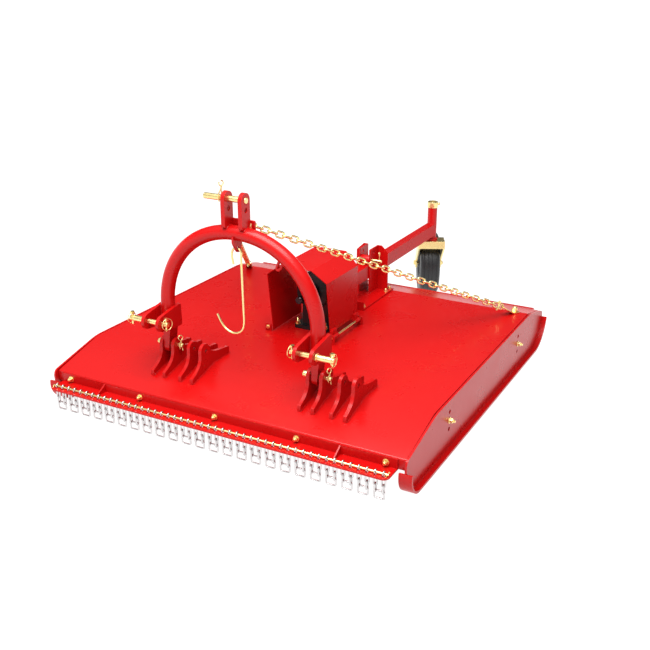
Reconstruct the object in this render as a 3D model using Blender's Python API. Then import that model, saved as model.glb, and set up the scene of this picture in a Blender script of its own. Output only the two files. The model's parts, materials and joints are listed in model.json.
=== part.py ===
# Tractor slasher: a rotary mower that hangs on a tractor's three-point hitch.
# Metres. The deck frame has X to the right seen from the tractor, Y to the rear and Z up,
# with its zero at the top front edge of the deck, on the centre line, level with the deck's flat top.
# Everything hangs on one empty, which stands the machine on its two skids and its tail wheel.

import math

import bmesh
import bpy
from mathutils import Matrix, Vector

# Clearances
GAP = 0.0003               # between pieces that rest on each other
RUNNING = 0.0003           # round a pin or a shaft in its bore

# Deck
DECK_HALF = 0.830
DECK_SHEET = 0.005
DECK_WALL = 0.006
DECK_FLAT_START = 0.263    # Y where the front slope ends
DECK_FLAT_END = 1.4714     # Y where the rear slope starts
DECK_FRONT_DROP = 0.070    # how far the front edge lies below the flat top
DECK_FLANGE_DROP = 0.114
DECK_SLOPE_END = 1.650
DECK_REAR_DROP = 0.041
DECK_LIP = 0.022
DECK_LIP_INSET = 0.025
DECK_WALL_DROP = 0.150
ROTOR_HOLE_R = 0.050

# Skids
SKID_PLATE = 0.012
RUNNER_TUCK = 0.018        # how far the runner reaches in under the deck's side
RUNNER_STAND = 0.0363      # and how far it stands out beyond it
RUNNER_THICK = 0.009
SKID_BOTTOM = 0.221
RUNNER_FRONT_Y = -0.024
RUNNER_FRONT_R = 0.085
RUNNER_REAR_Y = 1.538
RUNNER_REAR_R = 0.170
RUNNER_TIP_ANGLE = -13.0
SKID_BOLT_Y = (0.400, 1.287)
SKID_BOLT_Z = -0.088
SKID_BOLT_R = 0.006
SKID_HEAD_R = 0.0135
SKID_HEAD = 0.026
SPARE_HOLE_R = 0.009
SPARE_HOLE_Z = (-0.050, -0.126)

# Chain guard
BRACKET_INSET = 0.030      # from the deck's side to the bracket's end
BRACKET_HALF = DECK_HALF - BRACKET_INSET
BRACKET_THICK = 0.006
BRACKET_TOP = -0.110       # top of the flat leg
BRACKET_REACH = 0.098
BRACKET_CORNER_R = 0.025
GUSSET_X = 0.565
GUSSET_REACH = 0.060
GUARD_ROD_R = 0.00625
GUARD_Y = -0.070
GUARD_ROD_INSET = 0.0044
RING_COUNT = 48
RING_MARGIN = 0.0245       # from the bracket's end to its first ring
RING_PITCH = 2 * (BRACKET_HALF - RING_MARGIN) / (RING_COUNT - 1)
SLOT_WIDTH = 0.010
SLOT_LENGTH = 0.028
CURTAINS = 4
CURTAIN_BAR_R = 0.005
CURTAIN_BOTTOM = -0.214
LOOP_BAND = 0.010
LOOP_DEPTH = 0.014

# Hitch ears on the deck and the hoop that tilts between them
EAR_THICK = 0.015
EAR_SPACING = 0.060
EAR_STEP = 0.142  # from one pair of ears to the next
EAR_HEAD_R = 0.030
EAR_FRONT_Y = 0.105
EAR_REAR_Y = 0.380
EAR_TOE = 0.027            # height of the blunt front end over the deck
FOOT_PIN_Y = 0.210
FOOT_PIN_Z = 0.073
FOOT_PIN_R = 0.0095
FOOT_PIN_OVER = 0.028
HOOP_X = -0.012
HOOP_Y = 0.2175
HOOP_HALF = 0.363
PIPE_R = 0.03015
PIPE_WALL = 0.004
ARCH_Z = 0.247             # height of the arch's centre
ARCH_POWER = 2.08          # above 2 the arch has fuller shoulders than a circle
LEG_BOTTOM = 0.165
TONGUE_THICK = 0.030
TONGUE_X = (HOOP_X - HOOP_HALF + 0.005, HOOP_X + HOOP_HALF)  # between the ears that hold the hoop
EAR_LEFT, EAR_RIGHT = HOOP_X - HOOP_HALF + 0.012, HOOP_X + HOOP_HALF + 0.004
EAR_PAIRS = (EAR_LEFT, EAR_LEFT + EAR_STEP, EAR_RIGHT, EAR_RIGHT + EAR_STEP)
TONGUE_R = 0.028
TONGUE_DROP = 0.008        # from the pin to the centre of the tongue's round end
MAST_THICK = 0.018
MAST_GAP = 0.062
MAST_DEPTH = 0.060
MAST_Y = 0.2125
MAST_BOTTOM = 0.615
MAST_TOE = 0.632           # where the plates' front ends stand over the pipe's side
TOP_PIN_Z = 0.746
TOP_PIN_R = 0.0125
TOP_SPARE_Z = 0.707
TOP_SPARE_R = 0.0105
TOP_PIN_LEFT = -0.156
TOP_CLIP_OUT = 0.013       # from the mast plate to the pin's clip
CHAIN_PLATE_HALF = 0.068
CHAIN_PLATE_THICK = 0.010
CHAIN_PLATE_Z = (0.616, 0.660)
CLEVIS_THICK = 0.015
CLEVIS_SINK = 0.0008       # how far the clevis plates sink into the pipe's sides
CLEVIS_NOSE_R = 0.034
LINK_PIN_Y = 0.120
LINK_PIN_Z = 0.199
LINK_PIN_R = 0.011
LINK_STUB_R = 0.013
LINK_STUB = 0.080          # how far the stub stands out of the outer plate
LINK_TAIL = 0.026          # how far the thin end stands out of the inner plate
LYNCH_R = 0.0048
LYNCH_LENGTH = 0.054
LYNCH_RING_R = 0.0185
LYNCH_WIRE_R = 0.0018
LYNCH_INSET = 0.010
LUG_THICK = 0.008
LUG_HOLE_Z = 0.546
LUG_HOLE_R = 0.0065
HOOK_R = 0.0045

# Support chains
CHAIN_R = 0.011
CHAIN_TOP_Z = 0.635
ANCHOR_INSET = 0.062       # from the deck's side to the bolt
ANCHOR_X = DECK_HALF - ANCHOR_INSET
ANCHOR_Y = 1.455           # the bolt that holds the chain's strap
STRAP_THICK = 0.006
STRAP_WIDTH = 0.030
STRAP_FOOT = 0.018         # from the bolt to the strap's bend
STRAP_ARM = 0.052          # from the bend to the chain's end
DOME_R = 0.0125

# Gearbox
GEARBOX_Y = 0.870
INPUT_Z = 0.180
INPUT_R = 0.0175
INPUT_END = 0.674
BOX_HALF = 0.076
BOX_WAIST = 0.048          # half width of the stem over the foot
BOX_LENGTH = 0.150
BOX_SHOULDER_Z = 0.205
BOX_TOP_Z = 0.272
BOX_FOOT_HALF = 0.086
BOX_FOOT_LENGTH = 0.184
BOX_FOOT = 0.018
PINION_TEETH = 14
CROWN_TEETH = 26
TOOTH_MODULE = 0.005
GEAR_FACE = 0.385          # share of the cone that carries teeth
GEAR_GAP = 0.0005
ROTOR_R = 0.0225
ROTOR_END_R = 0.014

# Cutter
CARRIER_Z = -0.150         # underside of the carrier bar
CARRIER_THICK = 0.014
CARRIER_HALF = 0.395
CARRIER_WIDTH = 0.100
BLADE_PIVOT = 0.355
BLADE_TIP = 0.750
BLADE_WIDTH = 0.080
BLADE_THICK = 0.010
BLADE_BOLT_R = 0.012

# Hood
HOOD_HALF = 0.153
HOOD_SHEET = 0.003
HOOD_SIDE_TOP = 0.289
HOOD_TOP = 0.342
HOOD_TOP_HALF = 0.080
HOOD_FRONT = 0.650
HOOD_RAKE = 0.050
HOOD_REAR = 0.963
HOOD_OVERHANG = 0.022      # how far the top's rear edge stands behind the sides'
HOOD_LEFT_BOTTOM = 0.003
HOOD_RIGHT_BOTTOM = 0.045
HINGE_X = 0.170
HINGE_Z = 0.030
HINGE_ROD_R = 0.0055
SLEEVE_R = 0.0095
SLEEVES = ((0.690, 0.730), (0.910, 0.946))
HINGE_TABS = ((0.672, 0.680), (0.954, 0.962))

# Tail
BASE_HALF = 0.108
BASE_FRONT = 1.123
BASE_REAR = 1.500
BASE_PLATE = 0.008
BASE_FLANGE = 0.045
UPRIGHT_FRONT = 1.348
UPRIGHT_REAR = 1.448
UPRIGHT_TOP = 0.241
UPRIGHT_WING = 0.089
ARM_HALF = 0.025
ARM_LOW = 0.087
ARM_HIGH = 0.157
ARM_WALL = 0.005
ARM_FRONT = 1.056
ARM_PIN_SETBACK = 0.029
ARM_PIN_Y = ARM_FRONT + ARM_PIN_SETBACK
ARM_PIN_R = 0.010
HEIGHT_PIN_Y = 1.370
HEIGHT_PIN_R = 0.008
SPACER_R = 0.0237
SWIVEL_Y = 2.258
SWIVEL_TOP = 0.252
SWIVEL_R = 0.0275
DISC_R = 0.036
DISC_THICK = 0.012
STEM_R = 0.020
COLLAR_HEIGHT = 0.034
COLLAR_R = 0.0302

# Castor, in its own frame: turned about the swivel, with V pointing away from it
CASTOR_TURN = 27.0
FORK_TOP = 0.056
FORK_PLATE = 0.008
FORK_HALF = 0.0775
FORK_LEG = 0.011
FORK_DEPTH = 0.100
FORK_SKIRT = 0.044
FORK_FOOT_R = 0.026
TRAIL = 0.155
AXLE_Z = -0.138
AXLE_R = 0.010
WHEEL_R = 0.190
TYRE_WIDTH = 0.122
RIM_R = 0.090

ROUND = 20                 # sides of a round piece


def clear_scene():
    for obj in list(bpy.data.objects):
        bpy.data.objects.remove(obj)


def make_material(name, colour, roughness, metallic):
    material = bpy.data.materials.new(name)
    material.use_nodes = True
    shader = material.node_tree.nodes["Principled BSDF"]
    shader.inputs["Base Color"].default_value = (*colour, 1.0)
    shader.inputs["Roughness"].default_value = roughness
    shader.inputs["Metallic"].default_value = metallic
    return material


def make_materials():
    return {
        "red_paint": make_material("red_paint", (0.80, 0.02, 0.02), 0.35, 0.0),
        "zinc": make_material("zinc", (0.80, 0.62, 0.26), 0.30, 0.9),
        "chain_steel": make_material("chain_steel", (0.70, 0.71, 0.72), 0.30, 0.9),
        "black_paint": make_material("black_paint", (0.02, 0.02, 0.02), 0.45, 0.0),
        "steel": make_material("steel", (0.45, 0.45, 0.46), 0.40, 1.0),
        "rubber": make_material("rubber", (0.035, 0.035, 0.035), 0.80, 0.0),
    }


def new_object(name, bm):
    """An object from a closed bmesh, with its faces turned outwards."""
    bmesh.ops.recalc_face_normals(bm, faces=bm.faces)
    mesh = bpy.data.meshes.new(name)
    bm.to_mesh(mesh)
    bm.free()
    obj = bpy.data.objects.new(name, mesh)
    bpy.context.scene.collection.objects.link(obj)
    return obj


def combine(obj, others, operation="UNION"):
    """Joins others to obj, or cuts them from it, and removes them."""
    for other in others:
        modifier = obj.modifiers.new(other.name, "BOOLEAN")
        modifier.operation = operation
        modifier.solver = "EXACT"
        modifier.object = other
    bpy.context.view_layer.update()
    graph = bpy.context.evaluated_depsgraph_get()
    mesh = bpy.data.meshes.new_from_object(obj.evaluated_get(graph))
    obj.modifiers.clear()
    obj.data = mesh
    for other in others:
        bpy.data.objects.remove(other)
    return obj


def cut(obj, cutters):
    return combine(obj, cutters, "DIFFERENCE")


def arc(centre, radius, start, end, steps):
    """Points round a centre, from one angle to another, in degrees."""
    points = []
    for step in range(steps + 1):
        angle = math.radians(start + (end - start) * step / steps)
        points.append((centre[0] + radius * math.cos(angle), centre[1] + radius * math.sin(angle)))
    return points


def bezier(first, second, third, last, steps):
    """Points on a cubic curve, without its first one."""
    points = []
    for step in range(1, steps + 1):
        t = step / steps
        weights = ((1 - t) ** 3, 3 * t * (1 - t) ** 2, 3 * t * t * (1 - t), t ** 3)
        ends = (first, second, third, last)
        points.append(tuple(sum(w * p[i] for w, p in zip(weights, ends)) for i in (0, 1)))
    return points


def rounded(corners, steps=3):
    """An outline from (u, v, radius) corners, each rounded by its radius."""
    outline = []
    count = len(corners)
    for index, (u, v, radius) in enumerate(corners):
        here = Vector((u, v))
        if radius == 0:
            outline.append((u, v))
            continue
        before = (Vector(corners[index - 1][:2]) - here).normalized()
        after = (Vector(corners[(index + 1) % count][:2]) - here).normalized()
        half = before.angle(after) / 2
        centre = here + (before + after).normalized() * radius / math.sin(half)
        start = here + before * radius / math.tan(half) - centre
        end = here + after * radius / math.tan(half) - centre
        first = math.degrees(math.atan2(start.y, start.x))
        sweep = (math.degrees(math.atan2(end.y, end.x)) - first + 180) % 360 - 180
        outline += arc(centre, radius, first, first + sweep, steps)
    return outline


def offset_line(points, distance):
    """The open line of points moved sideways by distance, to the left of its own direction."""
    moved = []
    for index, point in enumerate(points):
        here = Vector(point)
        sides = []
        if index > 0:
            sides.append((here - Vector(points[index - 1])).normalized())
        if index < len(points) - 1:
            sides.append((Vector(points[index + 1]) - here).normalized())
        normals = [Vector((-side.y, side.x)) for side in sides]
        middle = sum(normals, Vector((0, 0))).normalized()
        moved.append(tuple(here + middle * distance / middle.dot(normals[0])))
    return moved


def prism(name, outline, axis, low, high):
    """A flat outline carried along an axis. The outline's two numbers are the other two axes, in order."""
    places = {"X": (1, 2, 0), "Y": (0, 2, 1), "Z": (0, 1, 2)}[axis]
    bm = bmesh.new()
    rings = []
    for level in (low, high):
        ring = []
        for point in outline:
            place = [0.0, 0.0, 0.0]
            place[places[0]] = point[0]
            place[places[1]] = point[1]
            place[places[2]] = level
            ring.append(bm.verts.new(place))
        rings.append(ring)
    count = len(outline)
    bm.faces.new(rings[0])
    bm.faces.new(rings[1])
    for index in range(count):
        after = (index + 1) % count
        bm.faces.new((rings[0][index], rings[0][after], rings[1][after], rings[1][index]))
    return new_object(name, bm)


def box(name, low, high):
    return prism(name, ((low[0], low[1]), (high[0], low[1]), (high[0], high[1]), (low[0], high[1])),
                 "Z", low[2], high[2])


def frame_along(direction):
    """Two directions square to the given one."""
    side = Vector((0, 0, 1)) if abs(direction.z) < 0.9 else Vector((1, 0, 0))
    first = direction.cross(side).normalized()
    return first, direction.cross(first).normalized()


def turned(name, start, direction, profile, sides=ROUND):
    """A closed turned solid: profile holds (distance along, radius) from one end to the other."""
    direction = Vector(direction).normalized()
    first, second = frame_along(direction)
    bm = bmesh.new()
    rings = []
    for along, radius in profile:
        centre = Vector(start) + direction * along
        ring = []
        for index in range(sides):
            angle = 2 * math.pi * (index + 0.5) / sides
            ring.append(bm.verts.new(centre + radius * (math.cos(angle) * first + math.sin(angle) * second)))
        rings.append(ring)
    for one, two in zip(rings, rings[1:]):
        for index in range(sides):
            after = (index + 1) % sides
            bm.faces.new((one[index], one[after], two[after], two[index]))
    bm.faces.new(rings[0])
    bm.faces.new(rings[-1])
    return new_object(name, bm)


def turned_ring(name, start, direction, profile, sides=ROUND):
    """A turned ring: profile is a closed loop of (distance along, radius) that stays off the axis."""
    direction = Vector(direction).normalized()
    first, second = frame_along(direction)
    bm = bmesh.new()
    rings = []
    for index in range(sides):
        angle = 2 * math.pi * (index + 0.5) / sides
        outward = math.cos(angle) * first + math.sin(angle) * second
        rings.append([bm.verts.new(Vector(start) + direction * along + outward * radius)
                      for along, radius in profile])
    count = len(profile)
    for turn in range(sides):
        one, two = rings[turn], rings[(turn + 1) % sides]
        for index in range(count):
            after = (index + 1) % count
            bm.faces.new((one[index], one[after], two[after], two[index]))
    return new_object(name, bm)


def rod(name, start, end, radius, sides=ROUND):
    length = (Vector(end) - Vector(start)).length
    return turned(name, start, Vector(end) - Vector(start), ((0, radius), (length, radius)), sides)


def swept_rings(bm, points, radius, sides):
    """Rings of vertices square to a line of points, turned as little as possible on the way."""
    places = [Vector(point) for point in points]
    rings = []
    first = None
    for index, here in enumerate(places):
        before = places[max(index - 1, 0)]
        after = places[min(index + 1, len(places) - 1)]
        direction = (after - before).normalized()
        if first is None:
            first, second = frame_along(direction)
        else:
            first = (first - direction * first.dot(direction)).normalized()
            second = direction.cross(first)
        stretch = 1.0
        if 0 < index < len(places) - 1:
            stretch = 1 / max(direction.dot((after - here).normalized()), 0.5)
        ring = []
        for turn in range(sides):
            angle = 2 * math.pi * (turn + 0.5) / sides
            ring.append(bm.verts.new(
                here + radius * stretch * (math.cos(angle) * first + math.sin(angle) * second)))
        rings.append(ring)
    for one, two in zip(rings, rings[1:]):
        for turn in range(sides):
            following = (turn + 1) % sides
            bm.faces.new((one[turn], one[following], two[following], two[turn]))
    return rings


def wire(name, points, radius, sides=8):
    """A round bar bent along a line of points."""
    bm = bmesh.new()
    rings = swept_rings(bm, points, radius, sides)
    bm.faces.new(rings[0])
    bm.faces.new(rings[-1])
    return new_object(name, bm)


def pipe(name, points, radius, wall, sides):
    """A bent pipe, open at both ends."""
    bm = bmesh.new()
    outer = swept_rings(bm, points, radius, sides)
    inner = swept_rings(bm, points, radius - wall, sides)
    for end in (0, -1):
        for turn in range(sides):
            after = (turn + 1) % sides
            bm.faces.new((outer[end][turn], outer[end][after], inner[end][after], inner[end][turn]))
    return new_object(name, bm)


def ring_of_wire(name, centre, axis, radius, thickness, sides=12, around=5):
    """A closed ring of round wire."""
    profile = []
    for step in range(around):
        angle = 2 * math.pi * step / around
        profile.append((thickness * math.cos(angle), radius + thickness * math.sin(angle)))
    return turned_ring(name, centre, axis, profile, sides)


def bolt_holes(places, axis, radius, low, high, sides=16):
    """Round cutters through a wall, one at each place."""
    cutters = []
    for index, (u, v) in enumerate(places):
        ends = []
        for level in (low, high):
            ends.append({"X": (level, u, v), "Y": (u, level, v), "Z": (u, v, level)}[axis])
        cutters.append(rod(f"cutter_{index}", ends[0], ends[1], radius, sides))
    return cutters


def finish(obj, material, machine, pivot=(0.0, 0.0, 0.0), smooth=35.0):
    """Gives a piece its finish, puts its origin on its joint's axis and hangs it on the machine."""
    obj.data.materials.clear()
    obj.data.materials.append(material)
    obj.data.shade_smooth()
    obj.data.set_sharp_from_angle(angle=math.radians(smooth))
    obj.data.transform(Matrix.Translation(-Vector(pivot)))
    obj.location = pivot
    obj.parent = machine
    return obj


def deck_top():
    """The deck's upper line from front to rear, as (Y, Z)."""
    return [(0.0, -DECK_FRONT_DROP), (DECK_FLAT_START, 0.0), (DECK_FLAT_END, 0.0),
            (DECK_SLOPE_END, -DECK_REAR_DROP)]


def deck_height(y):
    """Z of the deck's front slope or flat top at a given Y."""
    return min(0.0, -DECK_FRONT_DROP * (1 - y / DECK_FLAT_START))


def skid_hole_places():
    return [(y, SKID_BOLT_Z) for y in SKID_BOLT_Y]


def make_deck(materials, machine):
    upper = [(0.0, -DECK_FLANGE_DROP)] + deck_top()
    lower = offset_line(upper, -DECK_SHEET)
    deck = prism("deck", upper + lower[::-1], "X", -DECK_HALF, DECK_HALF)
    lip_end = DECK_HALF - DECK_LIP_INSET
    additions = [box("lip", (-lip_end, DECK_SLOPE_END - 0.012, -DECK_REAR_DROP - DECK_SHEET),
                     (lip_end, DECK_SLOPE_END + DECK_LIP, -DECK_REAR_DROP))]
    wall = rounded([(0.0, -DECK_FRONT_DROP, 0), (DECK_FLAT_START, 0.0, 0), (DECK_FLAT_END, 0.0, 0),
                    (DECK_SLOPE_END, -DECK_REAR_DROP, 0.010),
                    (DECK_SLOPE_END, -DECK_REAR_DROP - 0.060, 0.010),
                    (DECK_SLOPE_END - 0.060, -DECK_WALL_DROP, 0.010), (0.030, -DECK_WALL_DROP, 0.010),
                    (0.0, -DECK_FLANGE_DROP, 0)])
    for side in (-1, 1):
        inner, outer = sorted((side * (DECK_HALF - DECK_WALL), side * DECK_HALF))
        additions.append(prism(f"wall_{side}", wall, "X", inner, outer))
    for index, (low, high) in enumerate(HINGE_TABS):
        tab = rounded([(HINGE_X - 0.014, -DECK_SHEET / 2, 0), (HINGE_X + 0.014, -DECK_SHEET / 2, 0),
                       (HINGE_X + 0.014, HINGE_Z + 0.013, 0.008), (HINGE_X - 0.014, HINGE_Z + 0.013, 0.008)])
        additions.append(prism(f"hinge_tab_{index}", tab, "Y", low, high))
    latch_tab = rounded([(-HOOD_HALF - 0.032, -DECK_SHEET / 2, 0), (-HOOD_HALF - 0.0015, -DECK_SHEET / 2, 0),
                         (-HOOD_HALF - 0.0015, 0.035, 0.006), (-HOOD_HALF - 0.032, 0.035, 0.006)])
    additions.append(prism("latch_tab", latch_tab, "Y", 0.686, 0.692))
    combine(deck, additions)
    wall_reach = DECK_HALF + 0.01
    cutters = bolt_holes(skid_hole_places(), "X", SKID_BOLT_R + RUNNING, -wall_reach, wall_reach)
    cutters += bolt_holes([(HINGE_X, HINGE_Z)], "Y", HINGE_ROD_R + RUNNING, HINGE_TABS[0][0] - 0.01,
                          HINGE_TABS[1][1] + 0.01)
    cutters += bolt_holes([(0.0, GEARBOX_Y)], "Z", ROTOR_HOLE_R, -0.02, 0.02, 32)
    cut(deck, cutters)
    return finish(deck, materials["red_paint"], machine)


def runner_line():
    """The runner's outer line from its front tip to its rear tip, as (Y, Z)."""
    line = arc((RUNNER_FRONT_Y + RUNNER_FRONT_R, RUNNER_FRONT_R - SKID_BOTTOM), RUNNER_FRONT_R, 167, 270, 9)
    line += arc((RUNNER_REAR_Y, RUNNER_REAR_R - SKID_BOTTOM), RUNNER_REAR_R, 270, 360 + RUNNER_TIP_ANGLE, 12)
    return line


def make_skid(side, materials, machine):
    name = "skid_left" if side < 0 else "skid_right"
    inner = DECK_HALF + GAP
    outer_line = runner_line()
    inner_line = offset_line(outer_line, RUNNER_THICK)
    half_line = offset_line(outer_line, RUNNER_THICK / 2)
    tip = half_line[-1]
    upper = [(tip[0] - 0.006, tip[1] + 0.030, 0.012), (DECK_SLOPE_END, -DECK_REAR_DROP, 0.020),
             (DECK_FLAT_END, 0.0, 0.030), (DECK_FLAT_START, 0.0, 0.020),
             (RUNNER_FRONT_Y + 0.012, -0.066, 0.012), (RUNNER_FRONT_Y + 0.004, -0.090, 0)]
    outline = rounded([(u, v, 0) for u, v in half_line] + upper)
    sides = sorted((side * inner, side * (inner + SKID_PLATE)))
    skid = prism(name, outline, "X", *sides)
    ends = sorted((side * (DECK_HALF - RUNNER_TUCK), side * (DECK_HALF + RUNNER_STAND)))
    runner = prism("runner", outer_line + inner_line[::-1], "X", *ends)
    combine(skid, [runner])
    places = skid_hole_places()
    spares = [(y, z) for y in SKID_BOLT_Y for z in SPARE_HOLE_Z]
    cutters = bolt_holes(places, "X", SKID_BOLT_R + RUNNING, sides[0] - 0.01, sides[1] + 0.01)
    cutters += bolt_holes(spares, "X", SPARE_HOLE_R, sides[0] - 0.01, sides[1] + 0.01, 10)
    cut(skid, cutters)
    finish(skid, materials["red_paint"], machine)
    face = side * (inner + SKID_PLATE + GAP)
    for end, y in zip("fr", SKID_BOLT_Y):
        start = (face + side * SKID_HEAD, y, SKID_BOLT_Z)
        shank = DECK_WALL + SKID_PLATE + 2 * GAP + 0.012
        nut_r = SKID_HEAD_R * 0.85
        profile = ((0, SKID_HEAD_R * 0.6), (0.003, nut_r), (SKID_HEAD - 0.004, nut_r),
                   (SKID_HEAD - 0.004, SKID_HEAD_R), (SKID_HEAD, SKID_HEAD_R), (SKID_HEAD, SKID_BOLT_R),
                   (SKID_HEAD + shank, SKID_BOLT_R))
        bolt = turned(f"skid_bolt_{name[5]}{end}", start, (-side, 0, 0), profile, 12)
        finish(bolt, materials["zinc"], machine)
    return skid


def ring_x(index):
    """X of one of the rings that hang the chain loops on the guard rod."""
    return (index - (RING_COUNT - 1) / 2) * RING_PITCH


def make_guard(materials, machine):
    under = BRACKET_TOP - BRACKET_THICK
    corner = BRACKET_CORNER_R
    flat = rounded([(-BRACKET_HALF, -BRACKET_REACH, corner), (BRACKET_HALF, -BRACKET_REACH, corner),
                    (BRACKET_HALF, -GAP, 0), (-BRACKET_HALF, -GAP, 0)], 5)
    bracket = prism("guard_bracket", flat, "Z", under, BRACKET_TOP)
    additions = [box("upright_leg", (-BRACKET_HALF, -GAP - BRACKET_THICK, under + 0.001),
                     (BRACKET_HALF, -GAP, -DECK_FRONT_DROP - 0.002))]
    for side in (-1, 1):
        gusset = ((-GAP - 0.003, BRACKET_TOP - 0.003), (-GUSSET_REACH, BRACKET_TOP - 0.003),
                  (-GUSSET_REACH, BRACKET_TOP + 0.004), (-GAP - 0.006, -DECK_FRONT_DROP - 0.006),
                  (-GAP - 0.003, -DECK_FRONT_DROP - 0.006))
        middle = side * GUSSET_X
        additions.append(prism(f"gusset_{side}", gusset, "X", middle - 0.003, middle + 0.003))
    combine(bracket, additions)
    slots = [box(f"slot_{i}", (ring_x(i) - SLOT_WIDTH / 2, GUARD_Y - SLOT_LENGTH / 2, under - 0.01),
                 (ring_x(i) + SLOT_WIDTH / 2, GUARD_Y + SLOT_LENGTH / 2, BRACKET_TOP + 0.01))
             for i in range(RING_COUNT)]
    cut(bracket, slots)
    finish(bracket, materials["red_paint"], machine)
    rod_z = BRACKET_TOP + GUARD_ROD_R + GAP
    rod_half = BRACKET_HALF - GUARD_ROD_INSET
    guard_rod = rod("guard_rod", (-rod_half, GUARD_Y, rod_z), (rod_half, GUARD_Y, rod_z), GUARD_ROD_R, 14)
    finish(guard_rod, materials["chain_steel"], machine)
    per_curtain = RING_COUNT // CURTAINS
    for index in range(CURTAINS):
        make_curtain(index, per_curtain, under - GAP - CURTAIN_BAR_R, materials, machine)


def make_curtain(index, rings, bar_z, materials, machine):
    """One group of chain loops. It swings about its own top bar, just under the bracket."""
    first = index * rings
    ends = (ring_x(first) - 0.010, ring_x(first + rings - 1) + 0.010)
    curtain = rod(f"chain_curtain_{index + 1}", (ends[0], GUARD_Y, bar_z), (ends[1], GUARD_Y, bar_z),
                  CURTAIN_BAR_R, 10)
    loops = []
    for left in range(first, first + rings, 2):
        middle = (ring_x(left) + ring_x(left + 1)) / 2
        outer = RING_PITCH / 2 + LOOP_BAND / 2
        inner = RING_PITCH / 2 - LOOP_BAND / 2
        bend = CURTAIN_BOTTOM + outer
        outline = ([(middle - outer, bar_z)] + arc((middle, bend), outer, 180, 360, 6)
                   + [(middle + outer, bar_z), (middle + inner, bar_z)]
                   + arc((middle, bend), inner, 360, 180, 4) + [(middle - inner, bar_z)])
        loops.append(prism(f"loop_{left}", outline, "Y", GUARD_Y - LOOP_DEPTH / 2, GUARD_Y + LOOP_DEPTH / 2))
    for loop in loops:
        for vertex in loop.data.vertices:
            if vertex.co.z > bar_z - 0.0005:
                vertex.co.y = GUARD_Y + (vertex.co.y - GUARD_Y) * 0.3
    combine(curtain, loops)
    return finish(curtain, materials["chain_steel"], machine, (sum(ends) / 2, GUARD_Y, bar_z))


def ear_outline():
    """A hitch ear's side view, as (Y, Z), standing on the deck."""
    head = (FOOT_PIN_Y - 0.0055, FOOT_PIN_Z + 0.0035)
    toe = deck_height(EAR_FRONT_Y) + EAR_TOE
    outline = [(DECK_FLAT_START, GAP), (EAR_FRONT_Y, deck_height(EAR_FRONT_Y) + GAP),
               (EAR_FRONT_Y, toe - 0.003), (EAR_FRONT_Y + 0.0015, toe)]
    neck = head[0] - EAR_HEAD_R
    outline += bezier(outline[-1], (EAR_FRONT_Y + 0.037, 0.000), (neck, 0.018), (neck, head[1] - 0.0125), 6)
    outline += arc(head, EAR_HEAD_R, 180, 15, 7)
    outline += bezier(outline[-1], (0.243, 0.055), (0.275, 0.046), (EAR_REAR_Y - 0.008, 0.036), 5)
    outline += [(EAR_REAR_Y, 0.026), (EAR_REAR_Y, GAP)]
    return outline


def make_ears(materials, machine):
    names = ("left_outer", "left_inner", "right_inner", "right_outer")
    for pair, name in zip(EAR_PAIRS, names):
        for side, letter in ((-1, "a"), (1, "b")):
            middle = pair + side * EAR_SPACING / 2
            half = EAR_THICK / 2
            ear = prism(f"ear_{name}_{letter}", ear_outline(), "X", middle - half, middle + half)
            cut(ear, bolt_holes([(FOOT_PIN_Y, FOOT_PIN_Z)], "X", FOOT_PIN_R + RUNNING,
                                middle - EAR_THICK, middle + EAR_THICK))
            finish(ear, materials["red_paint"], machine)


def make_foot_pins(materials, machine):
    for pair, name in ((EAR_PAIRS[0], "left"), (EAR_PAIRS[2], "right")):
        outside = EAR_SPACING / 2 + EAR_THICK / 2 + GAP
        head = 0.010
        start = (pair - outside - head, FOOT_PIN_Y, FOOT_PIN_Z)
        length = head + 2 * outside + FOOT_PIN_OVER
        profile = ((0, 0.010), (0.003, 0.0135), (head, 0.0135), (head, FOOT_PIN_R),
                   (length - 0.003, FOOT_PIN_R), (length, FOOT_PIN_R - 0.003))
        pin = turned(f"foot_pin_{name}", start, (1, 0, 0), profile, 16)
        finish(pin, materials["zinc"], machine)


def hoop_points():
    """The pipe's centre line, up one leg, round the arch and down the other."""
    points = [(HOOP_X - HOOP_HALF, HOOP_Y, LEG_BOTTOM)]
    for u, v in arc((0, 0), 1, 180, 0, 22):
        across = math.copysign(abs(u) ** (2 / ARCH_POWER), u)
        points.append((HOOP_X + HOOP_HALF * across, HOOP_Y, ARCH_Z + HOOP_HALF * abs(v) ** (2 / ARCH_POWER)))
    points.append((HOOP_X + HOOP_HALF, HOOP_Y, LEG_BOTTOM))
    return points


def clevis_outline():
    """The lower clevis plate's side view, as (Y, Z)."""
    rear = HOOP_Y + 0.030
    nose = (LINK_PIN_Y, LINK_PIN_Z)
    front = [(u, v, 0) for u, v in arc(nose, CLEVIS_NOSE_R, 265, 100, 10)]
    return rounded(front + [(rear, 0.253, 0.004), (rear + 0.003, 0.152, 0.010)])


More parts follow.
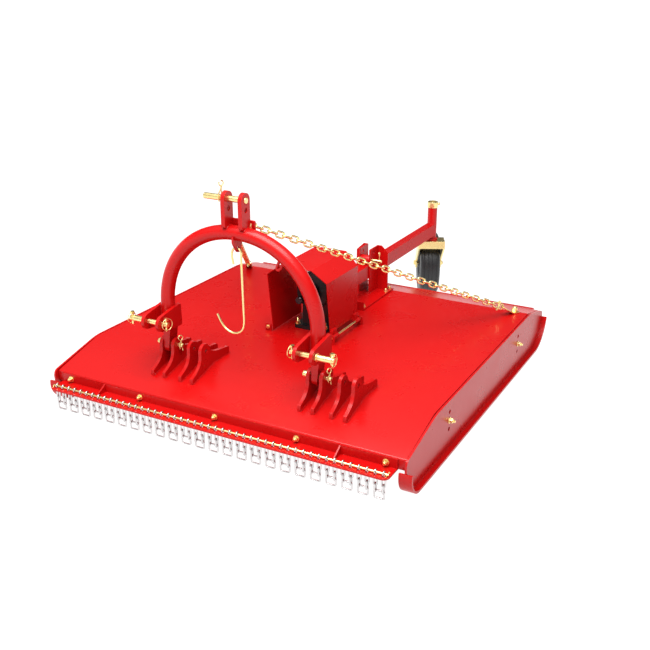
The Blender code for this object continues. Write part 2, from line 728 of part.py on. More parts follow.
def make_hoop(materials, machine):
    pivot = (HOOP_X, FOOT_PIN_Y, FOOT_PIN_Z)
    hoop = pipe("hoop", hoop_points(), PIPE_R, PIPE_WALL, 16)
    additions = []
    tongue = ([(HOOP_Y - 0.027, LEG_BOTTOM + 0.030), (HOOP_Y - 0.029, LEG_BOTTOM - 0.002),
               (HOOP_Y - 0.028, LEG_BOTTOM - 0.030)]
              + arc((FOOT_PIN_Y, FOOT_PIN_Z - TONGUE_DROP), TONGUE_R, 180, 360, 8)
              + [(HOOP_Y + 0.027, LEG_BOTTOM - 0.030), (HOOP_Y + 0.029, LEG_BOTTOM - 0.002),
                 (HOOP_Y + 0.027, LEG_BOTTOM + 0.030)])
    for side, middle in zip((-1, 1), TONGUE_X):
        leg = HOOP_X + side * HOOP_HALF
        half = TONGUE_THICK / 2
        additions.append(prism(f"tongue_{side}", tongue, "X", middle - half, middle + half))
        for face in (-1, 1):
            near = PIPE_R - CLEVIS_SINK
            inner, outer = sorted((leg + face * near, leg + face * (near + CLEVIS_THICK)))
            additions.append(prism(f"clevis_{side}_{face}", clevis_outline(), "X", inner, outer))
    front = MAST_Y - MAST_DEPTH / 2
    mast = ([(MAST_Y - 0.010, MAST_BOTTOM), (MAST_Y - 0.010, MAST_TOE), (front + 0.005, MAST_TOE),
             (front, MAST_TOE + 0.005)] + arc((MAST_Y, TOP_PIN_Z), MAST_DEPTH / 2, 180, 0, 12)
            + [(MAST_Y + MAST_DEPTH / 2, MAST_BOTTOM)])
    for side in (-1, 1):
        inner, outer = sorted((HOOP_X + side * MAST_GAP / 2, HOOP_X + side * (MAST_GAP / 2 + MAST_THICK)))
        additions.append(prism(f"mast_{side}", mast, "X", inner, outer))
    behind = MAST_Y + MAST_DEPTH / 2
    additions.append(box("chain_plate", (HOOP_X - CHAIN_PLATE_HALF, behind - 0.002, CHAIN_PLATE_Z[0]),
                         (HOOP_X + CHAIN_PLATE_HALF, behind + CHAIN_PLATE_THICK, CHAIN_PLATE_Z[1])))
    lug = rounded([(HOOP_Y - 0.034, 0.596, 0), (HOOP_Y - 0.034, 0.574, 0.003),
                   (HOOP_Y - 0.004, 0.530, 0.006), (HOOP_Y + 0.012, 0.532, 0.008),
                   (HOOP_Y + 0.032, 0.572, 0.003), (HOOP_Y + 0.032, 0.596, 0)])
    additions.append(prism("hook_lug", lug, "X", HOOP_X - LUG_THICK / 2, HOOP_X + LUG_THICK / 2))
    combine(hoop, additions)
    reach = HOOP_HALF + 0.1
    cutters = bolt_holes([(FOOT_PIN_Y, FOOT_PIN_Z)], "X", FOOT_PIN_R + RUNNING, -reach, reach)
    cutters += bolt_holes([(LINK_PIN_Y, LINK_PIN_Z)], "X", LINK_PIN_R + RUNNING, -reach, reach)
    cutters += bolt_holes([(MAST_Y, TOP_PIN_Z)], "X", TOP_PIN_R + RUNNING, -0.12, 0.10, 20)
    cutters += bolt_holes([(MAST_Y, TOP_SPARE_Z)], "X", TOP_SPARE_R, -0.12, 0.10)
    cutters += bolt_holes([(HOOP_Y, LUG_HOLE_Z)], "X", LUG_HOLE_R, HOOP_X - 0.03, HOOP_X + 0.03, 12)
    cut(hoop, cutters)
    finish(hoop, materials["red_paint"], machine, pivot)
    make_top_pin(materials, machine)
    for side in (-1, 1):
        make_link_pin(side, materials, machine)
    make_hook(materials, machine)


def make_clip(name, place, axis, length, ring_r, wire_r, materials, machine, side=1):
    """An upright pin with a ring round its head. The ring faces along axis, on the side given."""
    x, y, z = place
    clip = turned(name, (x, y, z - length / 2), (0, 0, 1),
                  ((0, wire_r * 0.6), (0.003, wire_r), (length - 0.010, wire_r),
                   (length - 0.009, wire_r + 0.002), (length, wire_r + 0.002)), 10)
    ring_z = z + length / 2 - 0.004 - ring_r
    ring_place = (x + side * (wire_r + LYNCH_WIRE_R * 0.5), y, ring_z)
    ring = ring_of_wire("ring", ring_place, axis, ring_r, LYNCH_WIRE_R)
    combine(clip, [ring])
    return finish(clip, materials["zinc"], machine)


def make_top_pin(materials, machine):
    right = HOOP_X + MAST_GAP / 2 + MAST_THICK + 0.004
    length = right - TOP_PIN_LEFT
    profile = ((0, TOP_PIN_R - 0.002), (0.002, TOP_PIN_R), (length - 0.003, TOP_PIN_R),
               (length, TOP_PIN_R - 0.003))
    pin = turned("top_link_pin", (right, MAST_Y, TOP_PIN_Z), (-1, 0, 0), profile)
    clip_x = HOOP_X - MAST_GAP / 2 - MAST_THICK - TOP_CLIP_OUT
    wire_r = 0.0028
    cut(pin, bolt_holes([(clip_x, MAST_Y)], "Z", wire_r + RUNNING, TOP_PIN_Z - 0.03, TOP_PIN_Z + 0.03, 10))
    finish(pin, materials["zinc"], machine)
    height = 0.056
    clip = wire("top_link_clip", ((clip_x, MAST_Y, TOP_PIN_Z - 0.024), (clip_x, MAST_Y, TOP_PIN_Z + height)),
                wire_r, 8)
    ring = ring_of_wire("ring", (clip_x, MAST_Y, TOP_PIN_Z + height + 0.008), (1, 0, 0), 0.010, 0.0026)
    combine(clip, [ring])
    finish(clip, materials["zinc"], machine)


def make_link_pin(side, materials, machine):
    name = "left" if side < 0 else "right"
    leg = HOOP_X + side * HOOP_HALF
    plate = PIPE_R + CLEVIS_THICK - CLEVIS_SINK
    outer_face = leg + side * (plate + GAP)
    length = LINK_STUB + 2 * (plate + GAP) + LINK_TAIL
    start = (outer_face + side * LINK_STUB, LINK_PIN_Y, LINK_PIN_Z)
    profile = ((0, LINK_STUB_R - 0.002), (0.002, LINK_STUB_R), (LINK_STUB, LINK_STUB_R),
               (LINK_STUB, LINK_PIN_R), (length - 0.002, LINK_PIN_R), (length, LINK_PIN_R - 0.002))
    pin = turned(f"lower_link_pin_{name}", start, (-side, 0, 0), profile)
    outboard = start[0] - side * LYNCH_INSET
    inboard = start[0] - side * (length - LYNCH_INSET)
    cut(pin, bolt_holes([(x, LINK_PIN_Y) for x in (outboard, inboard)], "Z", LYNCH_R + RUNNING,
                        LINK_PIN_Z - 0.03, LINK_PIN_Z + 0.03, 10))
    finish(pin, materials["zinc"], machine)
    for x, letter, away in ((outboard, "o", side), (inboard, "i", -side)):
        make_clip(f"lynch_pin_{name[0]}{letter}", (x, LINK_PIN_Y, LINK_PIN_Z), (1, 0, 0), LYNCH_LENGTH,
                  LYNCH_RING_R + LYNCH_WIRE_R, LYNCH_R, materials, machine, away)


def hook_points():
    """The hook's wire, from its short end over the lug's hole and down to its tip, as (X, Z) off the lug."""
    top = LUG_HOLE_Z
    return [(-0.021, top - 0.068), (-0.027, top - 0.036), (-0.024, top - 0.012), (-0.013, top - 0.001),
            (0.0, top), (0.011, top - 0.004), (0.017, top - 0.018), (0.016, top - 0.046), (0.019, 0.300),
            (0.020, 0.235), (0.012, 0.203), (-0.009, 0.185), (-0.037, 0.180), (-0.066, 0.190),
            (-0.089, 0.213), (-0.110, 0.251)]


def make_hook(materials, machine):
    points = [(HOOP_X + x, HOOP_Y, z) for x, z in hook_points()]
    hook = wire("pto_hook", points, HOOK_R, 10)
    return finish(hook, materials["zinc"], machine, (HOOP_X, HOOP_Y, LUG_HOLE_Z))


def make_chains(materials, machine):
    """The support chains with their straps. Each strap's arm points along its chain."""
    behind = MAST_Y + MAST_DEPTH / 2 + CHAIN_PLATE_THICK
    level = GAP + STRAP_THICK / 2
    for side, name in ((-1, "left"), (1, "right")):
        bolt = Vector((side * ANCHOR_X, ANCHOR_Y, level))
        top = Vector((HOOP_X + side * (CHAIN_PLATE_HALF - CHAIN_R), behind, CHAIN_TOP_Z))
        heading = Vector((top.x - bolt.x, top.y - bolt.y, 0)).normalized()
        bend = bolt + heading * STRAP_FOOT
        along = (top - bend).normalized()
        rise = math.asin(along.z)
        line = [(STRAP_FOOT, level), (-STRAP_FOOT, level),
                (-STRAP_FOOT - STRAP_ARM * math.cos(rise), level + STRAP_ARM * math.sin(rise))]
        sides = offset_line(line, STRAP_THICK / 2) + offset_line(line, -STRAP_THICK / 2)[::-1]
        strap = prism(f"chain_anchor_{name}", sides, "X", -STRAP_WIDTH / 2, STRAP_WIDTH / 2)
        dome = turned("dome", (0, 0, level), (0, 0, 1),
                      ((0, DOME_R), (0.012, DOME_R), (0.015, DOME_R * 0.8), (0.026, DOME_R * 0.6)), 12)
        combine(strap, [dome])
        turn = math.atan2(-heading.y, -heading.x) - math.pi / 2
        strap.data.transform(Matrix.Translation((bolt.x, bolt.y, 0)) @ Matrix.Rotation(turn, 4, "Z"))
        finish(strap, materials["zinc"], machine)
        slope = CHAIN_R * math.sqrt(1 - along.y ** 2) / -along.y + GAP / -along.y
        low = bend + along * (STRAP_ARM + GAP)
        chain = wire(f"support_chain_{name}", (top - along * slope, low), CHAIN_R, 8)
        finish(chain, materials["zinc"], machine)


def make_gearbox(materials, machine):
    front = GEARBOX_Y - BOX_LENGTH / 2
    rear = GEARBOX_Y + BOX_LENGTH / 2
    right = [(BOX_WAIST, 0.004), (BOX_WAIST, INPUT_Z - 0.064), (BOX_HALF, INPUT_Z - 0.022),
             (BOX_HALF, BOX_SHOULDER_Z), (0.045, BOX_TOP_Z - 0.010), (0.028, BOX_TOP_Z)]
    profile = right + [(-x, z) for x, z in reversed(right)]
    housing = prism("gearbox_housing", profile, "Y", front, rear)
    foot_front = GEARBOX_Y - BOX_FOOT_LENGTH / 2
    foot_rear = GEARBOX_Y + BOX_FOOT_LENGTH / 2
    foot = rounded([(-BOX_FOOT_HALF, foot_front, 0.012), (BOX_FOOT_HALF, foot_front, 0.012),
                    (BOX_FOOT_HALF, foot_rear, 0.012), (-BOX_FOOT_HALF, foot_rear, 0.012)])
    boss = rod("boss", (0, front - 0.022, INPUT_Z), (0, front + 0.01, INPUT_Z), 0.045, 24)
    combine(housing, [prism("foot", foot, "Z", GAP, BOX_FOOT), boss])
    crown_r = CROWN_TEETH * TOOTH_MODULE / 2
    pinion_r = PINION_TEETH * TOOTH_MODULE / 2
    wall = 0.010
    cut(housing, [
        rod("room", (0, front + wall, INPUT_Z), (0, rear - wall, INPUT_Z), crown_r + 0.003, 28),
        rod("well", (0, GEARBOX_Y, INPUT_Z - crown_r - 0.022), (0, GEARBOX_Y, INPUT_Z), pinion_r + 0.003, 24),
        rod("bottom_bore", (0, GEARBOX_Y, -0.01), (0, GEARBOX_Y, INPUT_Z), ROTOR_R + RUNNING, 24),
        rod("front_bore", (0, front - 0.05, INPUT_Z), (0, front + 0.05, INPUT_Z), INPUT_R + RUNNING, 24),
        rod("rear_bore", (0, rear - 0.03, INPUT_Z), (0, rear - 0.004, INPUT_Z), INPUT_R + RUNNING, 24)])
    finish(housing, materials["black_paint"], machine)
    centre = Vector((0, GEARBOX_Y, INPUT_Z))
    shaft_length = rear - 0.006 - INPUT_END
    shaft = turned("input_shaft", (0, INPUT_END, INPUT_Z), (0, 1, 0),
                   ((0, INPUT_R - 0.002), (0.002, INPUT_R), (shaft_length, INPUT_R)), 24)
    finish(shaft, materials["steel"], machine, (0, INPUT_END, INPUT_Z))
    near = 1 - GEAR_FACE
    bore = INPUT_R + RUNNING
    crown = turned_ring("crown_gear", centre, (0, -1, 0),
                        ((pinion_r * near, bore), (pinion_r * near, crown_r * near), (pinion_r, crown_r),
                         (pinion_r + 0.008, crown_r - 0.010), (pinion_r + 0.008, 0.030),
                         (pinion_r + 0.018, 0.030), (pinion_r + 0.018, bore)), 32)
    finish(crown, materials["steel"], machine, (0, GEARBOX_Y, INPUT_Z))
    neck_r = 0.015
    pinion = turned_ring("pinion_gear", centre, (0, 0, -1),
                         ((crown_r * near, neck_r + RUNNING), (crown_r * near, pinion_r * near - GEAR_GAP),
                          (crown_r, pinion_r - GEAR_GAP), (crown_r + 0.006, pinion_r - 0.008),
                          (crown_r + 0.012, pinion_r - 0.008), (crown_r + 0.012, neck_r + RUNNING)), 32)
    finish(pinion, materials["steel"], machine, (0, GEARBOX_Y, INPUT_Z))
    shoulder = INPUT_Z - crown_r - 0.012 - GAP
    neck_top = INPUT_Z - crown_r * near
    carrier_top = CARRIER_Z + CARRIER_THICK
    rotor = turned("rotor_shaft", (0, GEARBOX_Y, CARRIER_Z - 0.016), (0, 0, 1),
                   ((0, ROTOR_END_R), (0.004, ROTOR_R * 0.8), (0.016 - GAP, ROTOR_R * 0.8),
                    (0.016 - GAP, ROTOR_END_R), (carrier_top - CARRIER_Z + 0.016 + GAP, ROTOR_END_R),
                    (carrier_top - CARRIER_Z + 0.016 + GAP, 0.040),
                    (carrier_top - CARRIER_Z + 0.036, 0.040),
                    (carrier_top - CARRIER_Z + 0.044, ROTOR_R), (shoulder - CARRIER_Z + 0.016, ROTOR_R),
                    (shoulder - CARRIER_Z + 0.016, neck_r), (neck_top - CARRIER_Z + 0.016, neck_r)), 24)
    finish(rotor, materials["steel"], machine, (0, GEARBOX_Y, 0))


def make_cutter(materials, machine):
    half = CARRIER_WIDTH / 2
    outline = ([(x, GEARBOX_Y + y) for x, y in arc((CARRIER_HALF - half, 0), half, -90, 90, 8)]
               + [(x, GEARBOX_Y + y) for x, y in arc((-CARRIER_HALF + half, 0), half, 90, 270, 8)])
    carrier = prism("blade_carrier", outline, "Z", CARRIER_Z, CARRIER_Z + CARRIER_THICK)
    places = [(0.0, GEARBOX_Y)]
    cutters = bolt_holes(places, "Z", ROTOR_END_R + RUNNING, CARRIER_Z - 0.01, CARRIER_Z + 0.03, 24)
    cutters += bolt_holes([(side * BLADE_PIVOT, GEARBOX_Y) for side in (-1, 1)], "Z",
                          BLADE_BOLT_R + RUNNING, CARRIER_Z - 0.01, CARRIER_Z + 0.03)
    cut(carrier, cutters)
    finish(carrier, materials["black_paint"], machine, (0, GEARBOX_Y, CARRIER_Z))
    blade_top = CARRIER_Z - GAP
    for side, name in ((-1, "left"), (1, "right")):
        inner = BLADE_PIVOT - BLADE_WIDTH / 2
        width = BLADE_WIDTH / 2
        outline = arc((BLADE_PIVOT, 0), width, 90, 270, 8) + rounded(
            [(BLADE_PIVOT + 0.10, -width, 0), (BLADE_TIP - 0.012, -width, 0), (BLADE_TIP, -width + 0.02, 0),
             (BLADE_TIP - 0.004, width, 0)])
        outline = [(side * x, GEARBOX_Y + side * y) for x, y in outline]
        blade = prism(f"blade_{name}", outline, "Z", blade_top - BLADE_THICK, blade_top)
        cut(blade, [rod("pivot", (side * BLADE_PIVOT, GEARBOX_Y, blade_top - 0.03),
                        (side * BLADE_PIVOT, GEARBOX_Y, blade_top + 0.01), BLADE_BOLT_R + RUNNING, 16)])
        pivot = (side * BLADE_PIVOT, GEARBOX_Y, blade_top)
        finish(blade, materials["steel"], machine, pivot)
        low = blade_top - BLADE_THICK - GAP
        head = 0.012
        top = CARRIER_Z + CARRIER_THICK + GAP
        span = top - low
        profile = ((0, 0.018), (0.003, 0.021), (head, 0.021), (head, BLADE_BOLT_R),
                   (head + span, BLADE_BOLT_R), (head + span, 0.019), (head + span + 0.014, 0.019))
        under = (side * BLADE_PIVOT, GEARBOX_Y, low - head)
        bolt = turned(f"blade_bolt_{name}", under, (0, 0, 1), profile, 12)
        finish(bolt, materials["zinc"], machine, pivot)


def make_hood(materials, machine):
    upper = [(-HOOD_HALF, HOOD_LEFT_BOTTOM), (-HOOD_HALF, HOOD_SIDE_TOP), (-HOOD_TOP_HALF, HOOD_TOP),
             (HOOD_TOP_HALF, HOOD_TOP), (HOOD_HALF, HOOD_SIDE_TOP), (HOOD_HALF, HOOD_RIGHT_BOTTOM)]
    inner = offset_line(upper, -HOOD_SHEET)
    hood = prism("hood", upper + inner[::-1], "Y", HOOD_FRONT, HOOD_REAR)
    for vertex in hood.data.vertices:
        if vertex.co.y < HOOD_FRONT + 0.001:
            vertex.co.y = HOOD_FRONT + HOOD_RAKE * (HOOD_TOP - vertex.co.z) / HOOD_TOP
        elif vertex.co.z > HOOD_SIDE_TOP + 0.010:
            vertex.co.y = HOOD_REAR + HOOD_OVERHANG
    additions = []
    cutters = []
    for index, (low, high) in enumerate(SLEEVES):
        ends = ((HINGE_X, low, HINGE_Z), (HINGE_X, high, HINGE_Z))
        additions.append(rod(f"sleeve_{index}", *ends, SLEEVE_R, 16))
        additions.append(box(f"web_{index}", (HOOD_HALF - 0.0015, low, HINGE_Z + 0.004),
                             (HINGE_X - 0.003, high, HOOD_RIGHT_BOTTOM + 0.018)))
    combine(hood, additions)
    cutters.append(rod("hinge_bore", (HINGE_X, SLEEVES[0][0] - 0.01, HINGE_Z),
                       (HINGE_X, SLEEVES[1][1] + 0.01, HINGE_Z), HINGE_ROD_R + RUNNING, 16))
    cut(hood, cutters)
    finish(hood, materials["red_paint"], machine, (HINGE_X, HOOD_FRONT, HINGE_Z))
    ends = (HINGE_TABS[0][0] - 0.006, HINGE_TABS[1][1] + 0.006)
    hinge_rod = rod("hood_rod", (HINGE_X, ends[0], HINGE_Z), (HINGE_X, ends[1], HINGE_Z), HINGE_ROD_R, 16)
    finish(hinge_rod, materials["zinc"], machine)


def make_tail(materials, machine):
    low = GAP
    base = box("tail_base", (-BASE_HALF, BASE_FRONT, low), (BASE_HALF, BASE_REAR - 0.020, low + BASE_PLATE))
    additions = [box("flange", (-BASE_HALF, BASE_FRONT, low),
                     (BASE_HALF, BASE_FRONT + BASE_PLATE, BASE_FLANGE))]
    arm_mid = (ARM_LOW + ARM_HIGH) / 2
    lug = ([(BASE_FRONT, low + 0.002), (BASE_FRONT + 0.060, low + 0.002)]
           + arc((ARM_PIN_Y, arm_mid), 0.028, 15, 225, 8) + [(BASE_FRONT, 0.052)])
    inner = ARM_HALF + 0.001
    for side in (-1, 1):
        faces = sorted((side * inner, side * (inner + BASE_PLATE)))
        additions.append(prism(f"lug_{side}", lug, "X", *faces))
        additions.append(box(f"web_{side}", (faces[0], UPRIGHT_FRONT, low + 0.002),
                             (faces[1], UPRIGHT_REAR, UPRIGHT_TOP)))
        wing = [(side * (inner + 0.002), low + 0.002), (side * UPRIGHT_WING, low + 0.002),
                (side * UPRIGHT_WING, UPRIGHT_TOP - 0.037), (side * (UPRIGHT_WING - 0.038), UPRIGHT_TOP),
                (side * (inner + 0.002), UPRIGHT_TOP)]
        additions.append(prism(f"wing_{side}", wing, "Y", UPRIGHT_REAR - BASE_PLATE, UPRIGHT_REAR))
    combine(base, additions)
    height_z = ARM_HIGH + GAP + SPACER_R
    cutters = bolt_holes([(ARM_PIN_Y, arm_mid)], "X", ARM_PIN_R + RUNNING, -0.06, 0.06)
    cutters += bolt_holes([(HEIGHT_PIN_Y, height_z), (HEIGHT_PIN_Y + 0.020, height_z + 0.036)], "X",
                          HEIGHT_PIN_R + RUNNING, -0.06, 0.06)
    cut(base, cutters)
    finish(base, materials["red_paint"], machine)
    reach = inner + BASE_PLATE + GAP
    pin = turned("arm_pivot_pin", (-reach - 0.009, ARM_PIN_Y, arm_mid), (1, 0, 0),
                 ((0, 0.012), (0.002, 0.015), (0.009, 0.015), (0.009, ARM_PIN_R),
                  (2 * reach + 0.020, ARM_PIN_R)), 16)
    finish(pin, materials["zinc"], machine)
    end = 0.085
    height_pin = turned("height_pin", (-reach - 0.008, HEIGHT_PIN_Y, height_z), (1, 0, 0),
                        ((0, 0.009), (0.002, 0.012), (0.008, 0.012), (0.008, HEIGHT_PIN_R),
                         (reach + 0.008 + end - 0.002, HEIGHT_PIN_R),
                         (reach + 0.008 + end, HEIGHT_PIN_R - 0.002)), 16)
    clip_r = 0.0022
    clip_x = end - 0.012
    cut(height_pin, bolt_holes([(clip_x, HEIGHT_PIN_Y)], "Z", clip_r + RUNNING, height_z - 0.02,
                               height_z + 0.02, 8))
    finish(height_pin, materials["zinc"], machine)
    ends = ((clip_x, HEIGHT_PIN_Y, height_z - 0.014), (clip_x, HEIGHT_PIN_Y, height_z + 0.034))
    clip = wire("height_clip", ends, clip_r, 8)
    combine(clip, [ring_of_wire("ring", (clip_x, HEIGHT_PIN_Y, height_z + 0.040), (1, 0, 0), 0.008, 0.002)])
    finish(clip, materials["zinc"], machine)
    spacer = turned_ring("height_spacer", (-inner + GAP, HEIGHT_PIN_Y, height_z), (1, 0, 0),
                         ((0, HEIGHT_PIN_R + RUNNING), (0, SPACER_R), (2 * inner - 2 * GAP, SPACER_R),
                          (2 * inner - 2 * GAP, HEIGHT_PIN_R + RUNNING)), 24)
    finish(spacer, materials["red_paint"], machine)
    arm = box("tail_arm", (-ARM_HALF, ARM_FRONT, ARM_LOW), (ARM_HALF, SWIVEL_Y, ARM_HIGH))
    tube = rod("swivel_tube", (0, SWIVEL_Y, FORK_TOP + GAP + DISC_THICK / 2), (0, SWIVEL_Y, SWIVEL_TOP),
               SWIVEL_R, 24)
    disc = rod("disc", (0, SWIVEL_Y, FORK_TOP + GAP), (0, SWIVEL_Y, FORK_TOP + GAP + DISC_THICK), DISC_R, 24)
    combine(arm, [tube, disc])
    inside = ARM_HALF - ARM_WALL
    cutters = [box("hollow", (-inside, ARM_FRONT - 0.01, ARM_LOW + ARM_WALL),
                   (inside, SWIVEL_Y - SWIVEL_R - 0.004, ARM_HIGH - ARM_WALL)),
               rod("swivel_bore", (0, SWIVEL_Y, 0), (0, SWIVEL_Y, SWIVEL_TOP + 0.02), STEM_R + RUNNING, 24)]
    cutters += bolt_holes([(ARM_PIN_Y, arm_mid)], "X", ARM_PIN_R + RUNNING, -0.05, 0.05)
    cut(arm, cutters)
    finish(arm, materials["red_paint"], machine, (0, ARM_PIN_Y, arm_mid))


def castor_place(u, v, z):
    """A point of the castor's own frame, as a point of the deck frame."""
    turn = math.radians(CASTOR_TURN)
    return Vector((u * math.cos(turn) - v * math.sin(turn),
                   SWIVEL_Y + u * math.sin(turn) + v * math.cos(turn), z))


def turn_castor(obj):
    """Carries a piece that was made with V along Y and its zero at the swivel to its place."""
    turn = Matrix.Rotation(math.radians(CASTOR_TURN), 4, "Z")
    obj.data.transform(Matrix.Translation((0, SWIVEL_Y, 0)) @ turn)
    return obj


def make_castor(materials, machine):
    depth = FORK_DEPTH / 2
    fork = box("castor_fork", (-FORK_HALF, -depth, FORK_TOP - FORK_PLATE), (FORK_HALF, depth, FORK_TOP))
    additions = [box("skirt", (-FORK_HALF + 0.002, -depth, FORK_TOP - FORK_SKIRT),
                     (FORK_HALF - 0.002, -depth + FORK_PLATE, FORK_TOP))]
    back = TRAIL + FORK_FOOT_R
    leg = ([(-depth, FORK_TOP - 0.001), (-depth, FORK_TOP - FORK_SKIRT),
            (TRAIL - FORK_FOOT_R - 0.004, AXLE_Z + 0.020)]
           + arc((TRAIL, AXLE_Z), FORK_FOOT_R + 0.005, 190, 350, 8)
           + [(back, AXLE_Z + 0.030), (depth + 0.010, FORK_TOP - FORK_SKIRT), (depth, FORK_TOP - 0.001)])
    for side in (-1, 1):
        faces = sorted((side * FORK_HALF, side * (FORK_HALF - FORK_LEG)))
        additions.append(prism(f"leg_{side}", leg, "X", *faces))
    stem_top = SWIVEL_TOP + GAP + COLLAR_HEIGHT - 0.002
    additions.append(rod("stem", (0, 0, FORK_TOP - 0.004), (0, 0, stem_top), STEM_R, 24))
    combine(fork, additions)
    cut(fork, bolt_holes([(TRAIL, AXLE_Z)], "X", AXLE_R + RUNNING, -0.1, 0.1))
    turn_castor(fork)
    swivel = (0, SWIVEL_Y, FORK_TOP)
    finish(fork, materials["zinc"], machine, swivel)
    collar = turned_ring("castor_collar", (0, 0, SWIVEL_TOP + GAP), (0, 0, 1),
                         ((0, STEM_R + RUNNING), (0, COLLAR_R), (COLLAR_HEIGHT, COLLAR_R),
                          (COLLAR_HEIGHT, STEM_R + RUNNING)), 24)
    screw = turned("screw", (COLLAR_R - 0.004, 0, SWIVEL_TOP + COLLAR_HEIGHT * 0.6), (1, 0, 0),
                   ((0, 0.0055), (0.008, 0.0055), (0.008, 0.009), (0.016, 0.009)), 12)
    combine(collar, [screw])
    turn_castor(collar)
    finish(collar, materials["zinc"], machine, swivel)
    reach = FORK_HALF + GAP
    axle = turned("wheel_axle", (-reach - 0.011, TRAIL, AXLE_Z), (1, 0, 0),
                  ((0, 0.013), (0.002, 0.0155), (0.011, 0.0155), (0.011, AXLE_R), (0.011 + 2 * reach, AXLE_R),
                   (0.011 + 2 * reach, 0.0155), (0.011 + 2 * reach + 0.014, 0.0155)), 16)
    turn_castor(axle)
    hub = tuple(castor_place(0, TRAIL, AXLE_Z))
    finish(axle, materials["zinc"], machine, hub)
    half = TYRE_WIDTH / 2
    seat = RIM_R + GAP
    crown = 0.026
    shoulder = [(half - crown + u, WHEEL_R - crown + v) for u, v in arc((0, 0), crown, 15, 80, 2)]
    side_line = [(0.046, seat), (0.054, seat + 0.012), (half, seat + 0.040), (half, WHEEL_R - 0.036)]
    side_line += shoulder
    tread = [(-u, v) for u, v in side_line] + [(0, WHEEL_R)] + side_line[::-1]
    tyre = turned_ring("wheel_tyre", (0, TRAIL, AXLE_Z), (1, 0, 0), tread, 44)
    turn_castor(tyre)
    finish(tyre, materials["rubber"], machine, hub)
    bore = AXLE_R + RUNNING
    rim_line = [(0.060, bore), (0.060, 0.022), (0.012, 0.024), (0.012, 0.070), (0.046, RIM_R - 0.006),
                (0.046, RIM_R)]
    rim = turned_ring("wheel_rim", (0, TRAIL, AXLE_Z), (1, 0, 0),
                      [(-u, v) for u, v in rim_line] + rim_line[::-1], 24)
    turn_castor(rim)
    finish(rim, materials["black_paint"], machine, hub)


def points_in_deck_frame(obj):
    return [obj.matrix_local @ vertex.co for vertex in obj.data.vertices]


def stand(machine, front_names, rear_name):
    """Tips the machine until its skids and its wheel touch one level, then puts its box's foot at zero."""
    front = [p for name in front_names for p in points_in_deck_frame(bpy.data.objects[name])]
    rear = points_in_deck_frame(bpy.data.objects[rear_name])
    tip = 0.0
    for _ in range(8):
        turn = Matrix.Rotation(tip, 3, "X")
        low_front = min((turn @ p for p in front), key=lambda p: p.z)
        low_rear = min((turn @ p for p in rear), key=lambda p: p.z)
        tip += math.atan2(low_front.z - low_rear.z, low_rear.y - low_front.y)
    turn = Matrix.Rotation(tip, 3, "X")
    everything = [turn @ p for obj in machine.children for p in points_in_deck_frame(obj)]
    middle = [(min(p[i] for p in everything) + max(p[i] for p in everything)) / 2 for i in (0, 1)]
    machine.rotation_euler = (tip, 0, 0)
    machine.location = (-middle[0], -middle[1], -min(p.z for p in everything))


def main():
    clear_scene()
    materials = make_materials()
    machine = bpy.data.objects.new("machine", None)
    bpy.context.scene.collection.objects.link(machine)
    make_deck(materials, machine)
    for side in (-1, 1):
        make_skid(side, materials, machine)
    make_guard(materials, machine)
    make_ears(materials, machine)
    make_foot_pins(materials, machine)
    make_hoop(materials, machine)
    make_chains(materials, machine)
    make_gearbox(materials, machine)
    make_cutter(materials, machine)
    make_hood(materials, machine)
    make_tail(materials, machine)
    make_castor(materials, machine)
    bpy.context.view_layer.update()
    stand(machine, ("skid_left", "skid_right"), "wheel_tyre")
    bpy.context.view_layer.update()


main()
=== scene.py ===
import json
import math

import bmesh
import bpy
import numpy as np
from mathutils import Matrix, Vector
from mathutils.geometry import tessellate_polygon

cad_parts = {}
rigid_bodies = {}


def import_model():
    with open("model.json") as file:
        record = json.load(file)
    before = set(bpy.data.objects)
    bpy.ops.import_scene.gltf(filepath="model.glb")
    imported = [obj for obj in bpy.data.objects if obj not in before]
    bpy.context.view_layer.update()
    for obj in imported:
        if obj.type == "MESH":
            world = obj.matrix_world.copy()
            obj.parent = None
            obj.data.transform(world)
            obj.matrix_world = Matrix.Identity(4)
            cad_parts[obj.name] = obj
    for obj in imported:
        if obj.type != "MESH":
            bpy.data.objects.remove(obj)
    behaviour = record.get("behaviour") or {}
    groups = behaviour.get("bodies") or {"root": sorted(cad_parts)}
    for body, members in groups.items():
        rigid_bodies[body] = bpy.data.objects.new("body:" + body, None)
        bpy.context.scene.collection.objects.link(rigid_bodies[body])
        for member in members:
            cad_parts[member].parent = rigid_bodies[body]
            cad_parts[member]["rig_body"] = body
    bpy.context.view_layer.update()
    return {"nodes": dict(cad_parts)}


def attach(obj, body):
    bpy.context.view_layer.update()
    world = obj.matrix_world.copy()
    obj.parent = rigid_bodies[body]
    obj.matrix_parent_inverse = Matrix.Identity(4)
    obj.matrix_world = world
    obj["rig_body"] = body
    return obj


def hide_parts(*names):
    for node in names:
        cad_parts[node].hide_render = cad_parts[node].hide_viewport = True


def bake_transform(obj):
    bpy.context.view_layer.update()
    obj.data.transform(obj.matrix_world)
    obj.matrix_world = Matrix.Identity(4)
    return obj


# The slasher's pieces are worked out in the deck's own frame: X to the right seen from the tractor,
# Y to the rear, Z up, zero at the deck's top front edge. standing carries them onto the ground.
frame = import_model()
nodes = frame["nodes"]

standing = {"tip": 2.6358963592, "shift": (0.0, -1.24706806, 0.21796109)}
gap = 0.0003
tipCos, tipSin = math.cos(math.radians(standing["tip"])), math.sin(math.radians(standing["tip"]))
tipTurn = np.array([[1, 0, 0], [0, tipCos, -tipSin], [0, tipSin, tipCos]])
toRight, toRear, toTop = (1, 0, 0), (0, 1, 0), (0, 0, 1)
toLeft, toFront, toFloor = (-1, 0, 0), (0, -1, 0), (0, 0, -1)
bothSides = ((-1, "Left"), (1, "Right"))


